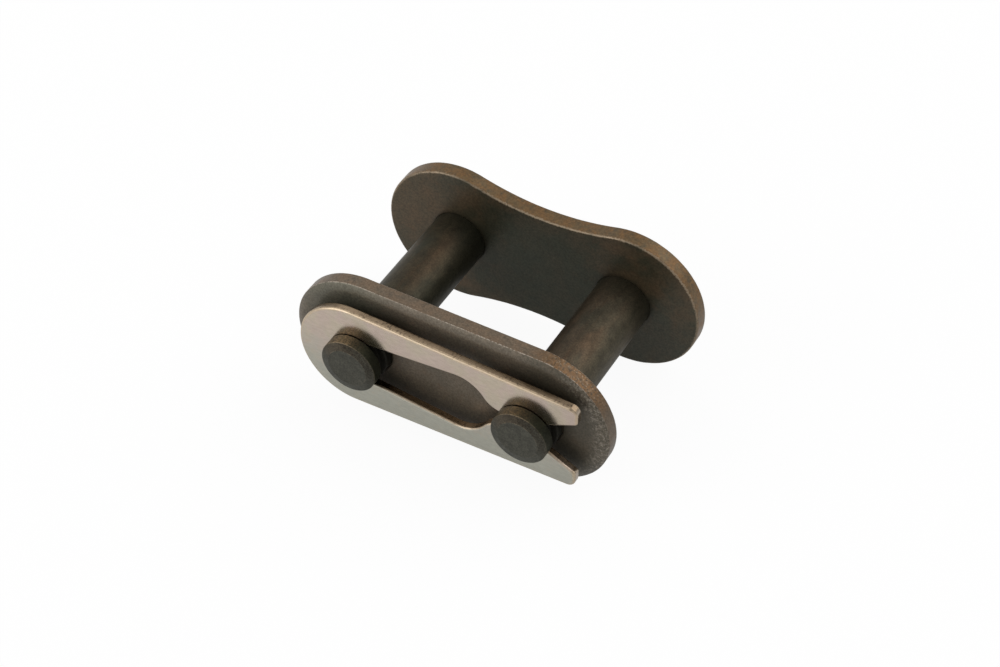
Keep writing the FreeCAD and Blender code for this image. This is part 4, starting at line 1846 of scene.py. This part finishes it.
@dataclass
class Studio:
    """A pale floor, a white surround and plain soft lamps."""

    floor_half: float = 1.5  # in metres
    floor_gap: float = 0.02  # in millimetres, under the plates
    floor_colour: Colour = (0.86, 0.86, 0.86)
    floor_glow: float = 1.02
    world_light: float = 0.45
    plain_share: float = 0.92  # how much of the floor's own white the camera sees, and the rest is shaded
    gloss_share: float = 0.3  # the same for what is seen in gloss, of the floor and of the surround
    lamps: tuple[Lamp, ...] = (
        Lamp("back_right", (0.24, 0.28, 0.36), 0.5, 1.0),
        Lamp("high_left", (-0.3, 0.12, 0.4), 0.45, 0.25),
        Lamp("front_left", (-0.34, -0.34, 0.22), 0.4, 1.0),
    )

    @staticmethod
    def _seen(graph: Graph, direct: float, gloss: float) -> Socket:
        """Tell what the camera sees from what shows in gloss and through glass.

        Args:
            graph: The graph.
            direct: Share for what the camera sees.
            gloss: Share for what is seen in gloss and through glass.

        Returns:
            The share.
        """
        path = graph.add("ShaderNodeLightPath")
        rays = (path.outputs["Is Glossy Ray"], path.outputs["Is Transmission Ray"])
        mirrored = graph.plus(*rays, True)
        plain = graph.times(path.outputs["Is Camera Ray"], direct)
        return graph.plus(plain, graph.times(mirrored, gloss), True)

    def _floor(self) -> None:
        """Lay the floor under the plates' lower edges."""
        lowest = cad_box[0][2] - self.floor_gap * MM
        half = self.floor_half
        mesh = bpy.data.meshes.new("floor")
        corners = ((-half, -half), (half, -half), (half, half), (-half, half))
        mesh.from_pydata([(x, y, lowest) for x, y in corners], [], [(0, 1, 2, 3)])
        floor = bpy.data.objects.new("floor", mesh)
        material = bpy.data.materials.new("pale_floor")
        material.use_nodes = True
        graph = Graph(material.node_tree)
        graph.tree.nodes.clear()
        paper = graph.add("ShaderNodeBsdfDiffuse", {"Color": rgba(self.floor_colour)})
        glow = graph.add("ShaderNodeEmission", {"Strength": self.floor_glow})
        share = self._seen(graph, self.plain_share, self.gloss_share)
        both = graph.add("ShaderNodeMixShader", {0: share, 1: paper.outputs[0], 2: glow.outputs[0]})
        graph.add("ShaderNodeOutputMaterial", {0: both.outputs[0]})
        mesh.materials.append(material)
        bpy.context.scene.collection.objects.link(floor)

    def _world(self) -> None:
        """Surround the object with white that lights it softly."""
        world = bpy.data.worlds.new("white_surround")
        world.use_nodes = True
        graph = Graph(world.node_tree)
        graph.tree.nodes.clear()
        light = graph.add("ShaderNodeBackground", {"Color": WHITE, "Strength": self.world_light})
        white = graph.add("ShaderNodeBackground", {"Color": WHITE, "Strength": 1.0})
        share = self._seen(graph, 1.0, self.gloss_share)
        both = graph.add("ShaderNodeMixShader", {0: share, 1: light.outputs[0], 2: white.outputs[0]})
        graph.add("ShaderNodeOutputWorld", {0: both.outputs[0]})
        bpy.context.scene.world = world

    def build(self) -> None:
        """Lay the floor, light the scene and keep its colours plain."""
        self._floor()
        self._world()
        for lamp in self.lamps:
            lamp.build()
        bpy.context.scene.view_settings.view_transform = "Standard"


def main() -> None:
    """Build the camera, the pieces and the studio in order."""
    logging.basicConfig(level=logging.INFO, format="%(name)s: %(message)s")
    PhotoCamera().build()
    press = Press()
    for assembly in (BackPlateAssembly(press), CoverPlateAssembly(press), SpringClipAssembly(press)):
        assembly.build()
    Studio().build()


if __name__ == "__main__":
    main()
